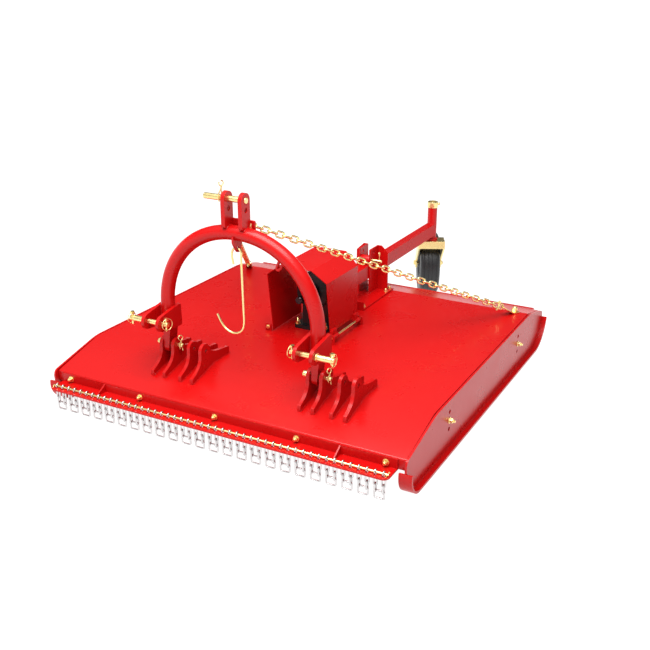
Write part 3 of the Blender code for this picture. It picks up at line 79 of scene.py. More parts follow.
def floats(values):
    # any numbers as one array
    return np.asarray(values, float)


def onGround(points):
    # every point turned about X by the tip angle, then shifted
    return floats(points) @ tipTurn.T + np.array(standing["shift"])


def unit(vectors):
    # each vector divided by its own length
    return floats(vectors) / np.linalg.norm(vectors, axis=-1, keepdims=True)


def rowsOf(x, y, z):
    # points from three coordinates, each one number or one row of numbers
    return np.stack(np.broadcast_arrays(x, y, z), -1).astype(float)


def fullTurn(count):
    # equal steps of angle once round
    return np.arange(count) * 2 * np.pi / count


# Every shell below is (points, faces).

def gridFaces(rows, columns, wrapRows=False):
    # the quads between row r and r+1 and column c and c+1, round the corner where that side wraps
    r, c = np.meshgrid(np.arange(rows if wrapRows else rows - 1), np.arange(columns), indexing="ij")
    r2, c2 = (r + 1) % rows, (c + 1) % columns
    quads = np.stack([r * columns + c, r * columns + c2, r2 * columns + c2, r2 * columns + c], -1)
    return quads.reshape(-1, 4).tolist()


def shellOf(points, ring=False):
    # rows of points joined by quads, with a face over the first and the last row unless the rows wrap
    rows, sides = points.shape[:2]
    ends = [] if ring else [list(range(sides))[::-1], list(range((rows - 1) * sides, rows * sides))]
    return points.reshape(-1, 3), gridFaces(rows, sides, wrapRows=ring) + ends


def joined(*shells):
    # the shells' points in one list, with each shell's faces counted on from the points before it
    points, faces, count = [], [], 0
    for shellPoints, shellFaces in shells:
        shellPoints = np.reshape(shellPoints, (-1, 3))
        points.append(shellPoints)
        faces += [[index + count for index in face] for face in shellFaces]
        count += len(shellPoints)
    return np.concatenate(points), faces


def tubeAlong(path, radius, sides=12, reference=toRear, closed=False):
    # a circle carried along the path: centre + side * r cos a + lift * r sin a,
    # where side is square to the path and to the reference direction
    path = floats(path)
    if closed:
        tangent = unit(np.roll(path, -1, 0) - np.roll(path, 1, 0))
    else:
        tangent = unit(np.gradient(path, axis=0))
    side = unit(np.cross(floats(reference), tangent))
    lift = np.cross(tangent, side)
    angle = fullTurn(sides)[None, :, None]
    reach = np.broadcast_to(floats(radius), (len(path),))[:, None, None]
    return shellOf(path[:, None] + reach * (side[:, None] * np.cos(angle) + lift[:, None] * np.sin(angle)),
                   closed)


def axisFrame(axis):
    # two unit directions square to the axis and to each other
    axis = unit(axis)
    other = np.array([0, 0, 1.0]) if abs(axis[2]) < 0.9 else np.array([1.0, 0, 0])
    first = unit(np.cross(other, axis))
    return axis, first, np.cross(axis, first)


def spokes(axis, sides):
    # the unit directions round an axis: first * cos(angle) + second * sin(angle)
    axis, first, second = axisFrame(axis)
    angle = fullTurn(sides)[:, None]
    return axis, first * np.cos(angle) + second * np.sin(angle)


def spun(origin, axis, level, reach, ring=False):
    # rows of points round an axis: origin + axis * level + spoke * reach
    axis, spoke = spokes(axis, reach.shape[1])
    return shellOf(floats(origin) + axis * level.reshape(len(reach), -1, 1) + spoke * reach[..., None], ring)


def turned(profile, origin, axis, sides=32, ring=False):
    # a profile of (distance along the axis, radius) turned once round the axis
    profile = floats(profile)
    return spun(origin, axis, profile[:, 0], np.repeat(profile[:, 1:2], sides, 1), ring)


def roundedOutline(corners, steps=6, closed=True):
    # each corner (u, v, r) replaced by a curve from r before it to r after it:
    # (1-t)^2 start + 2t(1-t) corner + t^2 end
    corners = [tuple(c) + (0.0,) * (3 - len(c)) for c in corners]
    t = np.linspace(0, 1, steps)[:, None]
    outline = []
    for index, (u, v, r) in enumerate(corners):
        here = np.array([u, v])
        if r <= 0 or (not closed and index in (0, len(corners) - 1)):
            outline.append(here[None])
            continue
        before = np.array(corners[index - 1][:2]) - here
        after = np.array(corners[(index + 1) % len(corners)][:2]) - here
        start = here + unit(before) * min(r, np.linalg.norm(before) * 0.49)
        end = here + unit(after) * min(r, np.linalg.norm(after) * 0.49)
        outline.append((1 - t) ** 2 * start + 2 * t * (1 - t) * here + t ** 2 * end)
    return np.concatenate(outline)


def softProfile(corners, steps=4):
    # a turned profile whose corners, given as (along, radius, rounding), are cut by small arcs
    return roundedOutline(corners, steps, closed=False)


def rodProfile(length, radius, cut, heart=0.001, rounding=0.001, steps=3):
    # a plain round rod with its end edges cut
    return softProfile([(0, heart), (0, radius - 0.001, 0.001),
                        (0.002 if cut > 0.001 else cut, radius, rounding), (length - cut, radius, rounding),
                        (length, radius - cut, 0.001), (length, heart)], steps)


def headedProfile(headR, head, radius, length):
    # a pin with a low round head
    return softProfile([(0, 0.002), (0, headR - 0.003, 0.001), (0.002, headR, 0.001), (head, headR, 0.0008),
                        (head, radius), (length - 0.002, radius, 0.001), (length, radius - 0.002, 0.001),
                        (length, 0.002)])


def sleeve(inner, outer, length, near=0.001, far=0.001, steps=4):
    # a short round sleeve with its outer edges cut
    return softProfile([(0, inner), (0, outer, near), (length, outer, far), (length, inner)], steps)


def arcPoints(centre, radius, startAngle, endAngle, count):
    # points at equal steps of angle round the centre
    angle = np.radians(np.linspace(startAngle, endAngle, count))
    return np.stack([centre[0] + radius * np.cos(angle), centre[1] + radius * np.sin(angle)], -1)


def circle(centre, radius, count=28):
    # an arc once round, without its first point again at the end
    return arcPoints(centre, radius, 0, 360 - 360 / count, count)


def bezier(a, b, c, d, count=12):
    # the cubic curve (1-t)^3 a + 3t(1-t)^2 b + 3t^2(1-t) c + t^3 d
    t = np.linspace(0, 1, count)[:, None]
    a, b, c, d = (floats(p) for p in (a, b, c, d))
    return (1 - t) ** 3 * a + 3 * t * (1 - t) ** 2 * b + 3 * t ** 2 * (1 - t) * c + t ** 3 * d


def bezierThrough(start, corner, end, reach=0.010, count=8):
    # start, a short curve round the corner, and end
    a, b = corner + unit(start - corner) * reach, corner + unit(end - corner) * reach
    t = np.linspace(0, 1, count)[:, None]
    return np.concatenate([[start], (1 - t) ** 2 * a + 2 * t * (1 - t) * corner + t ** 2 * b, [end]])


def offsetLine(line, distance):
    # a line moved to its left by a distance, each corner along the middle of its two sides
    line = floats(line)
    step = unit(np.diff(line, axis=0))
    normal = np.stack([-step[:, 1], step[:, 0]], -1)
    before = np.concatenate([normal[:1], normal])
    after = np.concatenate([normal, normal[-1:]])
    middle = unit(before + after)
    return line + middle * distance / np.sum(middle * after, -1, keepdims=True)


def smoothLine(points, count):
    # a curve through every given point, each stretch a cubic with the slopes of its neighbours
    points = floats(points)
    padded = np.concatenate([2 * points[:1] - points[1:2], points, 2 * points[-1:] - points[-2:-1]])
    place = np.linspace(0, len(points) - 1 - 1e-9, count)
    index = place.astype(int)
    t = (place - index)[:, None]
    p0, p1, p2, p3 = (padded[index + k] for k in range(4))
    return 0.5 * (2 * p1 + (p2 - p0) * t + (2 * p0 - 5 * p1 + 4 * p2 - p3) * t ** 2
                  + (3 * p1 - p0 - 3 * p2 + p3) * t ** 3)


def laidOut(flatPoints, depth, axis):
    # flat points put square to an axis at a depth: (Y, Z) for X, (X, Z) for Y, (X, Y) for Z
    u, v = floats(flatPoints).T
    return rowsOf(*{"X": (depth, u, v), "Y": (u, depth, v), "Z": (u, v, depth)}[axis])


def plate(outline, low, high, axis="X", holes=()):
    # an outline carried from one depth to another, with round or other holes through it
    loops = [floats(loop) for loop in (outline, *holes)]
    flatPoints = np.concatenate(loops)
    total = len(flatPoints)
    caps = [list(range(total))]
    if holes:
        caps = [list(face) for face in
                tessellate_polygon([[Vector((*p, 0)) for p in loop] for loop in loops])]
    points = np.concatenate([laidOut(flatPoints, low, axis), laidOut(flatPoints, high, axis)])
    faces = [face[::-1] for face in caps] + [[index + total for index in face] for face in caps]
    start = 0
    for loop in loops:
        here = np.arange(len(loop)) + start
        after = np.roll(here, -1)
        faces += np.stack([here, after, after + total, here + total], -1).tolist()
        start += len(loop)
    return points, faces


def hexHead(place, axis, flats, height, washer=0.0, washerThick=0.002):
    # a hexagon: radius = half the flats / cos(angle off the nearest flat), cut down to a cone at the rim
    corner = flats / 2 / np.cos((fullTurn(36) + np.pi / 6) % (np.pi / 3) - np.pi / 6)
    rim = np.minimum(corner, flats / 2 * 1.04)
    base = washerThick if washer else 0.0
    level = base + height * np.array([0, 0.86, 0.97, 1])
    shell = spun(place, axis, level, np.stack([corner, corner, rim, rim * 0.93]))
    if not washer:
        return shell
    return joined(shell, turned([(0, washer - 0.0004), (0.0004, washer), (base - 0.0004, washer),
                                 (base, washer - 0.0006)], place, axis, 28))


def threadRod(place, axis, radius, length, pitch=0.00175):
    # a rod whose radius falls and rises with (distance / pitch + angle / full turn), as a screw thread does
    along = np.linspace(0, length, max(int(length / pitch * 6), 8))
    phase = (along[:, None] / pitch + np.arange(24) / 24) % 1
    taper = np.clip((length - along) / 0.0015, 0, 1)[:, None]
    return spun(place, axis, along, (radius - np.abs(phase * 2 - 1) * pitch * 0.5) * (0.85 + 0.15 * taper))


def studNut(place, axis, flats, height, washer, radius, length):
    # a nut on its washer with the stud's end standing out of it
    return joined(hexHead(place, axis, flats, height, washer),
                  threadRod(floats(place) + floats(axis) * height, axis, radius, length))


def inPlane(outline, centre, along, across):
    # centre + along * u + across * v for each (u, v) of the outline
    return floats(centre) + floats(along) * outline[:, :1] + floats(across) * outline[:, 1:]


def link(centre, along, across, halfLength, halfWidth, wire, count=20, sides=8):
    # a wire carried round a link: two half circles of the half width joined by straight sides
    along, across = unit(along), unit(across)
    angle = fullTurn(count) + np.pi / count
    straight = np.sign(np.cos(angle)) * (halfLength - halfWidth)
    outline = np.stack([halfWidth * np.cos(angle) + straight, halfWidth * np.sin(angle)], -1)
    return tubeAlong(inPlane(outline, centre, along, across), wire, sides, np.cross(along, across),
                     closed=True)


def squareLink(centre, along, across, halfLength, halfWidth, corner, wire):
    # a wire carried round a link with four straight sides and rounded corners
    outline = roundedOutline([(halfLength, halfWidth, corner), (-halfLength, halfWidth, corner),
                              (-halfLength, -halfWidth, corner), (halfLength, -halfWidth, corner)], 4)
    return tubeAlong(inPlane(outline, centre, along, across), wire, 8, np.abs(np.cross(along, across)),
                     closed=True)


def ringOf(centre, normal, radius, wire, count=36, sides=8):
    # a wire carried round a circle
    normal, spoke = spokes(normal, count)
    return tubeAlong(floats(centre) + radius * spoke, wire, sides, normal, closed=True)


def weldBead(path, radius, reference, seed=0, pitch=0.0045):
    # a bead laid along a seam: its radius swells at each drop of metal and wanders a little
    path = floats(path)
    length = np.concatenate([[0], np.cumsum(np.linalg.norm(np.diff(path, axis=0), axis=1))])
    place = np.linspace(0, length[-1], max(int(length[-1] / pitch * 3), 6))
    line = np.stack([np.interp(place, length, path[:, k]) for k in range(3)], -1)
    swell = 0.68 * (1 + 0.09 * np.sin(place * 2 * np.pi / pitch) + 0.05 * np.sin(place * 61 + seed))
    ends = np.clip(np.minimum(place, length[-1] - place) / radius + 0.35, 0, 1)
    return tubeAlong(line, radius * swell * ends, 8, reference)


def seam(start, end, count=12):
    # points on the straight line between two places
    t = np.linspace(0, 1, count)[:, None]
    return floats(start) * (1 - t) + floats(end) * t


def openMesh(mesh):
    # a mesh's points and faces opened for editing
    shell = bmesh.new()
    shell.from_mesh(mesh)
    return shell


def closeMesh(shell, mesh, sharp):
    # the faces back into the mesh, shaded smooth with the sharp edges kept
    shell.to_mesh(mesh)
    shell.free()
    mesh.shade_smooth()
    mesh.set_sharp_from_angle(angle=math.radians(sharp))


def addObject(name, data):
    # a new object at the origin, in the scene
    made = bpy.data.objects.new(name, data)
    bpy.context.scene.collection.objects.link(made)
    return made


def dressPiece(name, mesh, material, body, bevel, segments, angle, replaces):
    # an object with its material, its rounded edges, its body, and the CAD nodes that it stands in for
    mesh.materials.clear()
    mesh.materials.append(material)
    piece = addObject(name, mesh)
    if bevel:
        edge = piece.modifiers.new("edge", "BEVEL")
        edge.width, edge.segments, edge.limit_method = bevel, segments, "ANGLE"
        edge.angle_limit = math.radians(angle)
        edge.use_clamp_overlap = edge.harden_normals = True
    if body:
        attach(piece, body)
    ownNode = "".join("_" + letter.lower() if letter.isupper() else letter for letter in name)
    if replaces or ownNode in nodes:
        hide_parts(*(replaces or (ownNode,)))
    return piece


def addPiece(name, shell, material, body="frame", bevel=0.0, segments=2, sharp=38, replaces=()):
    # doubles merged and faces turned outwards
    points, faces = shell
    mesh = bpy.data.meshes.new(name)
    mesh.from_pydata(onGround(np.reshape(points, (-1, 3))).tolist(), [], faces)
    shell = openMesh(mesh)
    bmesh.ops.remove_doubles(shell, verts=shell.verts, dist=2e-6)
    bmesh.ops.recalc_face_normals(shell, faces=shell.faces)
    closeMesh(shell, mesh, sharp)
    return dressPiece(name, mesh, material, body, bevel, segments, 38, replaces)


def addWeld(name, body, *beads):
    # weld beads joined into one piece
    return addPiece(name, joined(*beads), weldPaint, body, sharp=60)


def dressedCopy(node, name, material, bevel=0.0, segments=2):
    # a CAD node's own shape, with its loose triangles merged, flat faces joined and edges rounded
    mesh = nodes[node].data.copy()
    mesh.name = name
    shell = openMesh(mesh)
    bmesh.ops.remove_doubles(shell, verts=shell.verts, dist=5e-6)
    bmesh.ops.dissolve_limit(shell, angle_limit=math.radians(0.4), verts=shell.verts, edges=shell.edges)
    closeMesh(shell, mesh, 30)
    return dressPiece(name, mesh, material, nodes[node]["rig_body"], bevel, segments, 30, (node,))


def addNode(tree, kind, values=None, **settings):
    # a shader node with its settings and its constant sockets
    made = tree.nodes.new(kind)
    for key, value in settings.items():
        setattr(made, key, value)
    for key, value in (values or {}).items():
        made.inputs[key].default_value = value
    return made


def blankMaterial(name, **sockets):
    # a material with its principled shader, object coordinates and the constant sockets set
    material = bpy.data.materials.new(name)
    material.use_nodes = True
    tree = material.node_tree
    shader = tree.nodes["Principled BSDF"]
    for key, value in sockets.items():
        shader.inputs[key.replace("_", " ")].default_value = value
    return material, tree, shader, addNode(tree, "ShaderNodeTexCoord").outputs["Object"]


def ranged(tree, value, fromLow, fromHigh, low=0.0, high=1.0, **settings):
    # a value mapped from one range to another
    made = addNode(tree, "ShaderNodeMapRange", {"From Min": fromLow, "From Max": fromHigh,
                                                "To Min": low, "To Max": high}, **settings)
    tree.links.new(value, made.inputs["Value"])
    return made.outputs["Result"]


def noiseMap(tree, place, scale, detail=4.0, low=0.0, high=1.0, rough=0.55, fromLow=0.3, fromHigh=0.7):
    # noise of a given scale, mapped to a range
    noise = addNode(tree, "ShaderNodeTexNoise", {"Scale": scale, "Detail": detail, "Roughness": rough})
    tree.links.new(place, noise.inputs["Vector"])
    return ranged(tree, noise.outputs["Fac"], fromLow, fromHigh, low, high)


def mixColours(tree, share, first, second):
    # first colour * (1 - share) + second colour * share
    mix = addNode(tree, "ShaderNodeMix", data_type="RGBA")
    for slot, colour in ((6, first), (7, second)):
        if isinstance(colour, tuple):
            mix.inputs[slot].default_value = (*colour, 1)
        else:
            tree.links.new(colour, mix.inputs[slot])
    tree.links.new(share, mix.inputs[0])
    return mix.outputs[2]


def addBumps(tree, shader, place, layers):
    # one bump after another, each (scale, strength, distance)
    normal = None
    for scale, strength, distance in layers:
        noise = addNode(tree, "ShaderNodeTexNoise", {"Scale": scale, "Detail": 3.0})
        tree.links.new(place, noise.inputs["Vector"])
        bump = addNode(tree, "ShaderNodeBump", {"Strength": strength, "Distance": distance})
        tree.links.new(noise.outputs["Fac"], bump.inputs["Height"])
        if normal is not None:
            tree.links.new(normal, bump.inputs["Normal"])
        normal = bump.outputs["Normal"]
    tree.links.new(normal, shader.inputs["Normal"])


def paintFinish(name, look):
    # enamel: two close shades in clouds, thin dust, roughness in patches, orange peel in the bump
    material, tree, shader, place = blankMaterial(name, Specular_IOR_Level=look["specular"])
    clouds = noiseMap(tree, place, look["cloudScale"])
    colour = mixColours(tree, clouds, look["shade"], look["colour"])
    dust = noiseMap(tree, place, 23.0, 8.0, 0.0, look["dust"], 0.65, 0.52, 0.78)
    tree.links.new(mixColours(tree, dust, colour, look["dustColour"]), shader.inputs["Base Color"])
    tree.links.new(noiseMap(tree, place, 9.0, 6.0, *look["rough"]), shader.inputs["Roughness"])
    addBumps(tree, shader, place, ((look["peel"], look["peelDepth"], 0.0004), (14.0, look["wave"], 0.002)))
    return material


def platedFinish(name, look):
    # plated steel: the tint drifts between two shades, with fine scratches in roughness and bump
    material, tree, shader, place = blankMaterial(name, Metallic=1.0)
    drift = noiseMap(tree, place, look["driftScale"], 5.0)
    colour = mixColours(tree, drift, look["colour"], look["drift"])
    spots = noiseMap(tree, place, 160.0, 6.0, 0.0, look["spots"], 0.6, 0.55, 0.75)
    tree.links.new(mixColours(tree, spots, colour, look["spotColour"]), shader.inputs["Base Color"])
    tree.links.new(noiseMap(tree, place, 55.0, 7.0, *look["rough"]), shader.inputs["Roughness"])
    addBumps(tree, shader, place, ((420.0, look["grain"], 0.0003), (60.0, look["dent"], 0.0006)))
    return material


redLook = {"colour": (0.46, 0.003, 0.003), "shade": (0.43, 0.0025, 0.0025), "cloudScale": 2.2,
           "dust": 0.004, "dustColour": (0.36, 0.07, 0.05), "rough": (0.26, 0.31),
           "specular": 0.28, "peel": 520.0, "peelDepth": 0.004, "wave": 0.0006}
weldLook = dict(redLook, peel=260.0, peelDepth=0.15)
blackLook = {"colour": (0.012, 0.012, 0.013), "shade": (0.007, 0.007, 0.008), "cloudScale": 6.0,
             "dust": 0.1, "dustColour": (0.03, 0.028, 0.026), "rough": (0.30, 0.42),
             "specular": 0.4, "peel": 340.0, "peelDepth": 0.12, "wave": 0.02}
rubberLook = {"colour": (0.013, 0.013, 0.014), "shade": (0.009, 0.009, 0.010), "cloudScale": 12.0,
              "dust": 0.04, "dustColour": (0.04, 0.039, 0.037), "rough": (0.34, 0.46),
              "specular": 0.5, "peel": 700.0, "peelDepth": 0.08, "wave": 0.01}
zincLook = {"colour": (0.96, 0.80, 0.38), "drift": (0.91, 0.71, 0.30), "driftScale": 11.0, "spots": 0.18,
            "spotColour": (0.72, 0.55, 0.28), "rough": (0.24, 0.36), "grain": 0.04, "dent": 0.03}
chainLook = dict(zincLook, rough=(0.24, 0.34), colour=(0.97, 0.83, 0.42))
brightLook = {"colour": (0.70, 0.69, 0.69), "drift": (0.62, 0.60, 0.60), "driftScale": 9.0, "spots": 0.25,
              "spotColour": (0.66, 0.62, 0.54), "rough": (0.12, 0.24), "grain": 0.06, "dent": 0.04}
steelLook = {"colour": (0.62, 0.61, 0.59), "drift": (0.5, 0.49, 0.47), "driftScale": 14.0, "spots": 0.5,
             "spotColour": (0.3, 0.27, 0.24), "rough": (0.22, 0.42), "grain": 0.15, "dent": 0.06}
bladeLook = {"colour": (0.32, 0.31, 0.30), "drift": (0.22, 0.2, 0.19), "driftScale": 20.0, "spots": 0.7,
             "spotColour": (0.14, 0.1, 0.08), "rough": (0.35, 0.6), "grain": 0.3, "dent": 0.15}
oiledLook = dict(bladeLook, colour=(0.075, 0.072, 0.078), drift=(0.05, 0.048, 0.052), spots=0.3,
                 spotColour=(0.03, 0.028, 0.028), rough=(0.28, 0.42))

redPaint = paintFinish("redEnamel", redLook)
weldPaint = paintFinish("redEnamelOverWeld", weldLook)
blackPaint = paintFinish("blackCasting", blackLook)
rubber = paintFinish("tyreRubber", rubberLook)
zinc = platedFinish("yellowZinc", zincLook)
chainZinc = platedFinish("chainZinc", chainLook)
brightSteel = platedFinish("brightPlate", brightLook)
shaftSteel = platedFinish("shaftSteel", steelLook)
bladeSteel = platedFinish("bladeSteel", bladeLook)
oiledSteel = platedFinish("oiledSteel", oiledLook)
print("finishes made")


deckLook = {"half": 0.830, "flatStart": 0.263, "flatEnd": 1.4714, "frontDrop": 0.070, "slopeEnd": 1.650,
            "rearDrop": 0.041, "edge": 0.0022}
deckPressing = dressedCopy("deck", "deckPressing", redPaint, deckLook["edge"], 3)


def foldFront(piece, reach=0.0065, segments=5):
    # the long edge where the front slope turns down, cut back to a round fold
    shell = openMesh(piece.data)
    places = (np.array([v.co[:] for v in shell.verts]) - np.array(standing["shift"])) @ tipTurn
    onFold = (np.abs(places[:, 1]) < 0.002) & (np.abs(places[:, 2] + deckLook["frontDrop"]) < 0.002)
    edges = [edge for edge in shell.edges if all(onFold[v.index] for v in edge.verts)]
    bmesh.ops.bevel(shell, geom=edges, offset=reach, segments=segments, profile=0.5, affect="EDGES",
                    clamp_overlap=True)
    closeMesh(shell, piece.data, 30)


foldFront(deckPressing)


def deckHeight(y):
    # the deck's top: up the front slope, level, then down the rear slope
    return np.interp(y, [0, deckLook["flatStart"], deckLook["flatEnd"], deckLook["slopeEnd"]],
                     [-deckLook["frontDrop"], 0, 0, -deckLook["rearDrop"]])


skidLook = {"plate": 0.012, "groove": 0.0038, "grooveDepth": 0.007, "tuck": 0.018, "stand": 0.0363,
            "thick": 0.009, "bottom": 0.2209, "frontY": -0.024, "frontR": 0.085,
            "rearY": 1.538, "rearR": 0.170, "tip": -13.0, "boltY": (0.400, 1.287), "boltZ": -0.088,
            "boltR": 0.006, "spareR": 0.009, "spareZ": (-0.050, -0.126), "edge": 0.0014,
            "boltHead": (0.019, 0.0125, 0.0135, 0.0025), "beadR": 0.0032}


def makeSkid(side, name):
    # a strip along two arcs, a plate above it with its bolt holes, and the bed of the groove beside the deck
    look = skidLook
    frontR, rearR = look["frontR"], look["rearR"]
    runner = np.concatenate([
        arcPoints((look["frontY"] + frontR, frontR - look["bottom"]), frontR, 167, 270, 28),
        arcPoints((look["rearY"], rearR - look["bottom"]), rearR, 270, 360 + look["tip"], 36)])
    inner, middle = offsetLine(runner, look["thick"]), offsetLine(runner, look["thick"] / 2)
    tipY, tipZ = middle[-1]
    upper = roundedOutline([(tipY, tipZ, 0), (tipY - 0.006, tipZ + 0.030, 0.014),
                            (deckLook["slopeEnd"], -deckLook["rearDrop"], 0.024),
                            (deckLook["flatEnd"], 0.0, 0.05), (deckLook["flatStart"], 0.0, 0.04),
                            (look["frontY"] + 0.012, -0.066, 0.014), (look["frontY"] + 0.004, -0.090, 0.006),
                            (*middle[0], 0)], 7, closed=False)
    holes = [circle((y, look["boltZ"]), look["boltR"] + gap, 20) for y in look["boltY"]]
    holes += [circle((y, z), look["spareR"], 24) for y in look["boltY"] for z in look["spareZ"]]
    half = deckLook["half"]
    near, face = side * (half + look["groove"]), side * (half + gap + look["plate"])
    sheet = plate(np.concatenate([middle, upper[1:-1]]), near, face, holes=holes)
    strip = plate(np.concatenate([runner, inner[::-1]]), side * (half - look["tuck"]),
                  side * (half + look["stand"]))
    # the bottom of the groove between the plate and the deck's side follows the deck's top, a little lower
    along = np.linspace(0.004, deckLook["slopeEnd"] - 0.006, 60)
    lower = deckHeight(along) - look["grooveDepth"]
    bed = np.concatenate([np.column_stack([along, lower]), np.column_stack([along, lower - 0.004])[::-1]])
    bed = plate(bed, side * (half + 0.0002), near + side * 0.001)
    addPiece(f"skid{name}", joined(sheet, strip, bed), redPaint, "frame", look["edge"])
    bead = laidOut(offsetLine(runner, look["thick"] + 0.0012)[6:-6], face + side * 0.0012, "X")
    addWeld(f"skid{name}Weld", "frame", weldBead(bead, look["beadR"], toRight, seed=side))
    out, back = (side, 0, 0), (-side, 0, 0)
    # the bolt's shank and its round head inside the deck's side
    shank = [(0, 0.0055), (0.0305, 0.0055), (0.031, 0.009), (0.033, 0.0095), (0.036, 0.0095), (0.0375, 0.0085)]
    for end, y in zip("fr", look["boltY"]):
        place = np.array([face + side * gap, y, look["boltZ"]])
        shell = joined(hexHead(place, out, *look["boltHead"]),
                       threadRod(place + [side * 0.010, 0, 0], out, look["boltR"], 0.0152),
                       turned(shank, place, back, 20))
        addPiece(f"skidBolt{name}{end}", shell, zinc, sharp=32,
                 replaces=(f"skid_bolt_{name[0].lower()}{end}",))


for side, name in bothSides:
    makeSkid(side, name)
print("deck and skids made")


earLook = {"thick": 0.015, "spacing": 0.060, "pairs": (-0.363, -0.221, 0.355, 0.497), "headR": 0.030,
           "pinY": 0.210, "pinZ": 0.073, "boreR": 0.0098, "foot": 0.105, "tail": 0.380, "toe": 0.027,
           "edge": 0.0026}


def earOutline():
    # blunt foot, curved neck, round head and a tail that falls to the rear, seen from the side
    look = earLook
    head = np.array([look["pinY"] - 0.0055, look["pinZ"] + 0.0035])
    foot, tail = look["foot"], look["tail"]
    footZ = float(deckHeight(foot))
    toe = footZ + look["toe"]
    neckY = head[0] - look["headR"]
    start = np.array([(deckLook["flatStart"], gap), (foot, footZ + gap), (foot, toe - 0.0045),
                      (foot + 0.0006, toe - 0.0018), (foot + 0.0024, toe - 0.0002)])
    neck = bezier((foot + 0.004, toe + 0.0006), (foot + 0.037, 0.0), (neckY, 0.018),
                  (neckY, head[1] - 0.0125), 20)
    top = arcPoints(head, look["headR"], 180, 15, 30)
    back = bezier(top[-1], (0.243, 0.055), (0.275, 0.046), (tail - 0.009, 0.036), 22)[1:]
    corner = np.array([(tail - 0.004, 0.0335), (tail - 0.001, 0.0300), (tail, 0.026), (tail, gap)])
    return np.concatenate([start, neck, top, back, corner])


def makeEars():
    # one outline for all eight, carried across each ear's thickness, with a bead along each side of its foot
    look = earLook
    outline, hole = earOutline(), circle((look["pinY"], look["pinZ"]), look["boreR"])
    y = np.linspace(look["foot"] + 0.004, look["tail"] - 0.008, 60)
    for pair, name in zip(look["pairs"], ("LeftOuter", "LeftInner", "RightInner", "RightOuter")):
        for side, letter in ((-1, "A"), (1, "B")):
            middle = pair + side * look["spacing"] / 2
            low, high = middle - look["thick"] / 2, middle + look["thick"] / 2
            addPiece(f"ear{name}{letter}", plate(outline, low, high, holes=[hole]), redPaint, "frame",
                     look["edge"], 3)
            addWeld(f"ear{name}{letter}Weld", "frame",
                    *(weldBead(rowsOf(x, y, deckHeight(y) + 0.0006), 0.0036, toRight, seed=k + pair * 9)
                      for k, x in enumerate((low - 0.001, high + 0.001))))


makeEars()

pinLook = {"headR": 0.0135, "head": 0.028, "over": 0.023, "r": 0.0095, "clipWire": 0.0021, "clipRing": 0.0104}


def ringClip(place, length, wire, ringR, normal, drop=0.5):
    # an upright wire through a pin, bent over into a ring at its top
    x, y, z = place
    stem = tubeAlong(seam((x, y, z - length * drop), (x, y, z + length * (1 - drop)), 8), wire, 10, toRight)
    ring = ringOf((x, y, z + length * (1 - drop) + ringR - wire), normal, ringR, wire * 0.85)
    return joined(stem, ring)


def springClip(place, facing, up, below, above, ringR, wire, bow):
    # one wire in the plane facing a direction: up through the pin, most of the way round a ring,
    # then down again with a bow that fits the pin's side
    up = unit(up)
    wide = unit(np.cross(up, facing))
    ring = arcPoints((0, above + ringR), ringR, -70, 250, 13)
    bends = np.concatenate([[(0, -below), (0, 0), (0, above * 0.7)], ring,
                            [(-ringR * 0.25, above * 0.75), (-bow * 0.8, above * 0.4), (-bow, 0),
                             (-bow * 0.8, -below * 0.55)]])
    line = smoothLine(bends, 110)
    return tubeAlong(floats(place) + wide * line[:, :1] + up * line[:, 1:], wire, 10, np.cross(up, wide))


def makeFootPins():
    # a pin turned about the tilt axis through each outer pair of ears, held by a spring clip
    look = pinLook
    outside = earLook["spacing"] / 2 + earLook["thick"] / 2 + gap
    length = look["head"] + 2 * outside + look["over"]
    # a head with a groove round it, then the shank
    profile = softProfile([(0, 0.0105), (0, look["headR"], 0.003), (0.017, look["headR"], 0.001),
                           (0.018, 0.0115), (0.020, 0.0115), (0.021, look["headR"], 0.001),
                           (look["head"], look["headR"], 0.001), (look["head"], look["r"], 0.0004),
                           (length - 0.003, look["r"], 0.0008), (length, look["r"] - 0.003, 0.001),
                           (length, 0.002)])
    for name, pair in zip(("Left", "Right"), earLook["pairs"][::2]):
        start = np.array([pair - outside - look["head"], earLook["pinY"], earLook["pinZ"]])
        addPiece(f"footPin{name}", turned(profile, start, toRight), zinc, sharp=32)
        clip = springClip(start + [length - 0.0065, 0, 0], (0.93, -0.36, 0), (-0.16, 0, 1), 0.021, 0.025,
                          look["clipRing"], look["clipWire"], look["r"] + 0.003)
        addPiece(f"footPinClip{name}", clip, zinc, sharp=50)


makeFootPins()
print("ears made")


hoopLook = {"x": -0.012, "y": 0.2175, "half": 0.363, "pipeR": 0.03015, "wall": 0.004, "archZ": 0.247,
            "power": 2.08, "legBottom": 0.165, "tongueX": (-0.370, 0.351), "tongueThick": 0.030,
            "tongueR": 0.028, "tongueDrop": 0.008, "edge": 0.0016}
mastLook = {"thick": 0.018, "gap": 0.062, "depth": 0.060, "y": 0.2125, "bottom": 0.615, "toe": 0.632,
            "pinZ": 0.746, "pinR": 0.0125, "spareZ": 0.707, "spareR": 0.0105, "plateHalf": 0.068,
            "plateThick": 0.010, "plateZ": (0.616, 0.660)}
clevisLook = {"thick": 0.015, "sink": 0.0008, "noseR": 0.034, "pinY": 0.120, "pinZ": 0.199, "pinR": 0.011}


def archLine(count=120):
    # legs straight up, then |x/half|^power + |z/half|^power = 1
    look = hoopLook
    angle = np.linspace(np.pi, 0, count)
    across = np.sign(np.cos(angle)) * np.abs(np.cos(angle)) ** (2 / look["power"])
    height = np.abs(np.sin(angle)) ** (2 / look["power"])
    arch = rowsOf(look["x"] + look["half"] * across, look["y"], look["archZ"] + look["half"] * height)
    legs = [seam((look["x"] + side * look["half"], look["y"], look["legBottom"]),
                 (look["x"] + side * look["half"], look["y"], look["archZ"] - 0.003), 8) for side in (-1, 1)]
    return np.concatenate([legs[0], arch[1:-1], legs[1][::-1]])


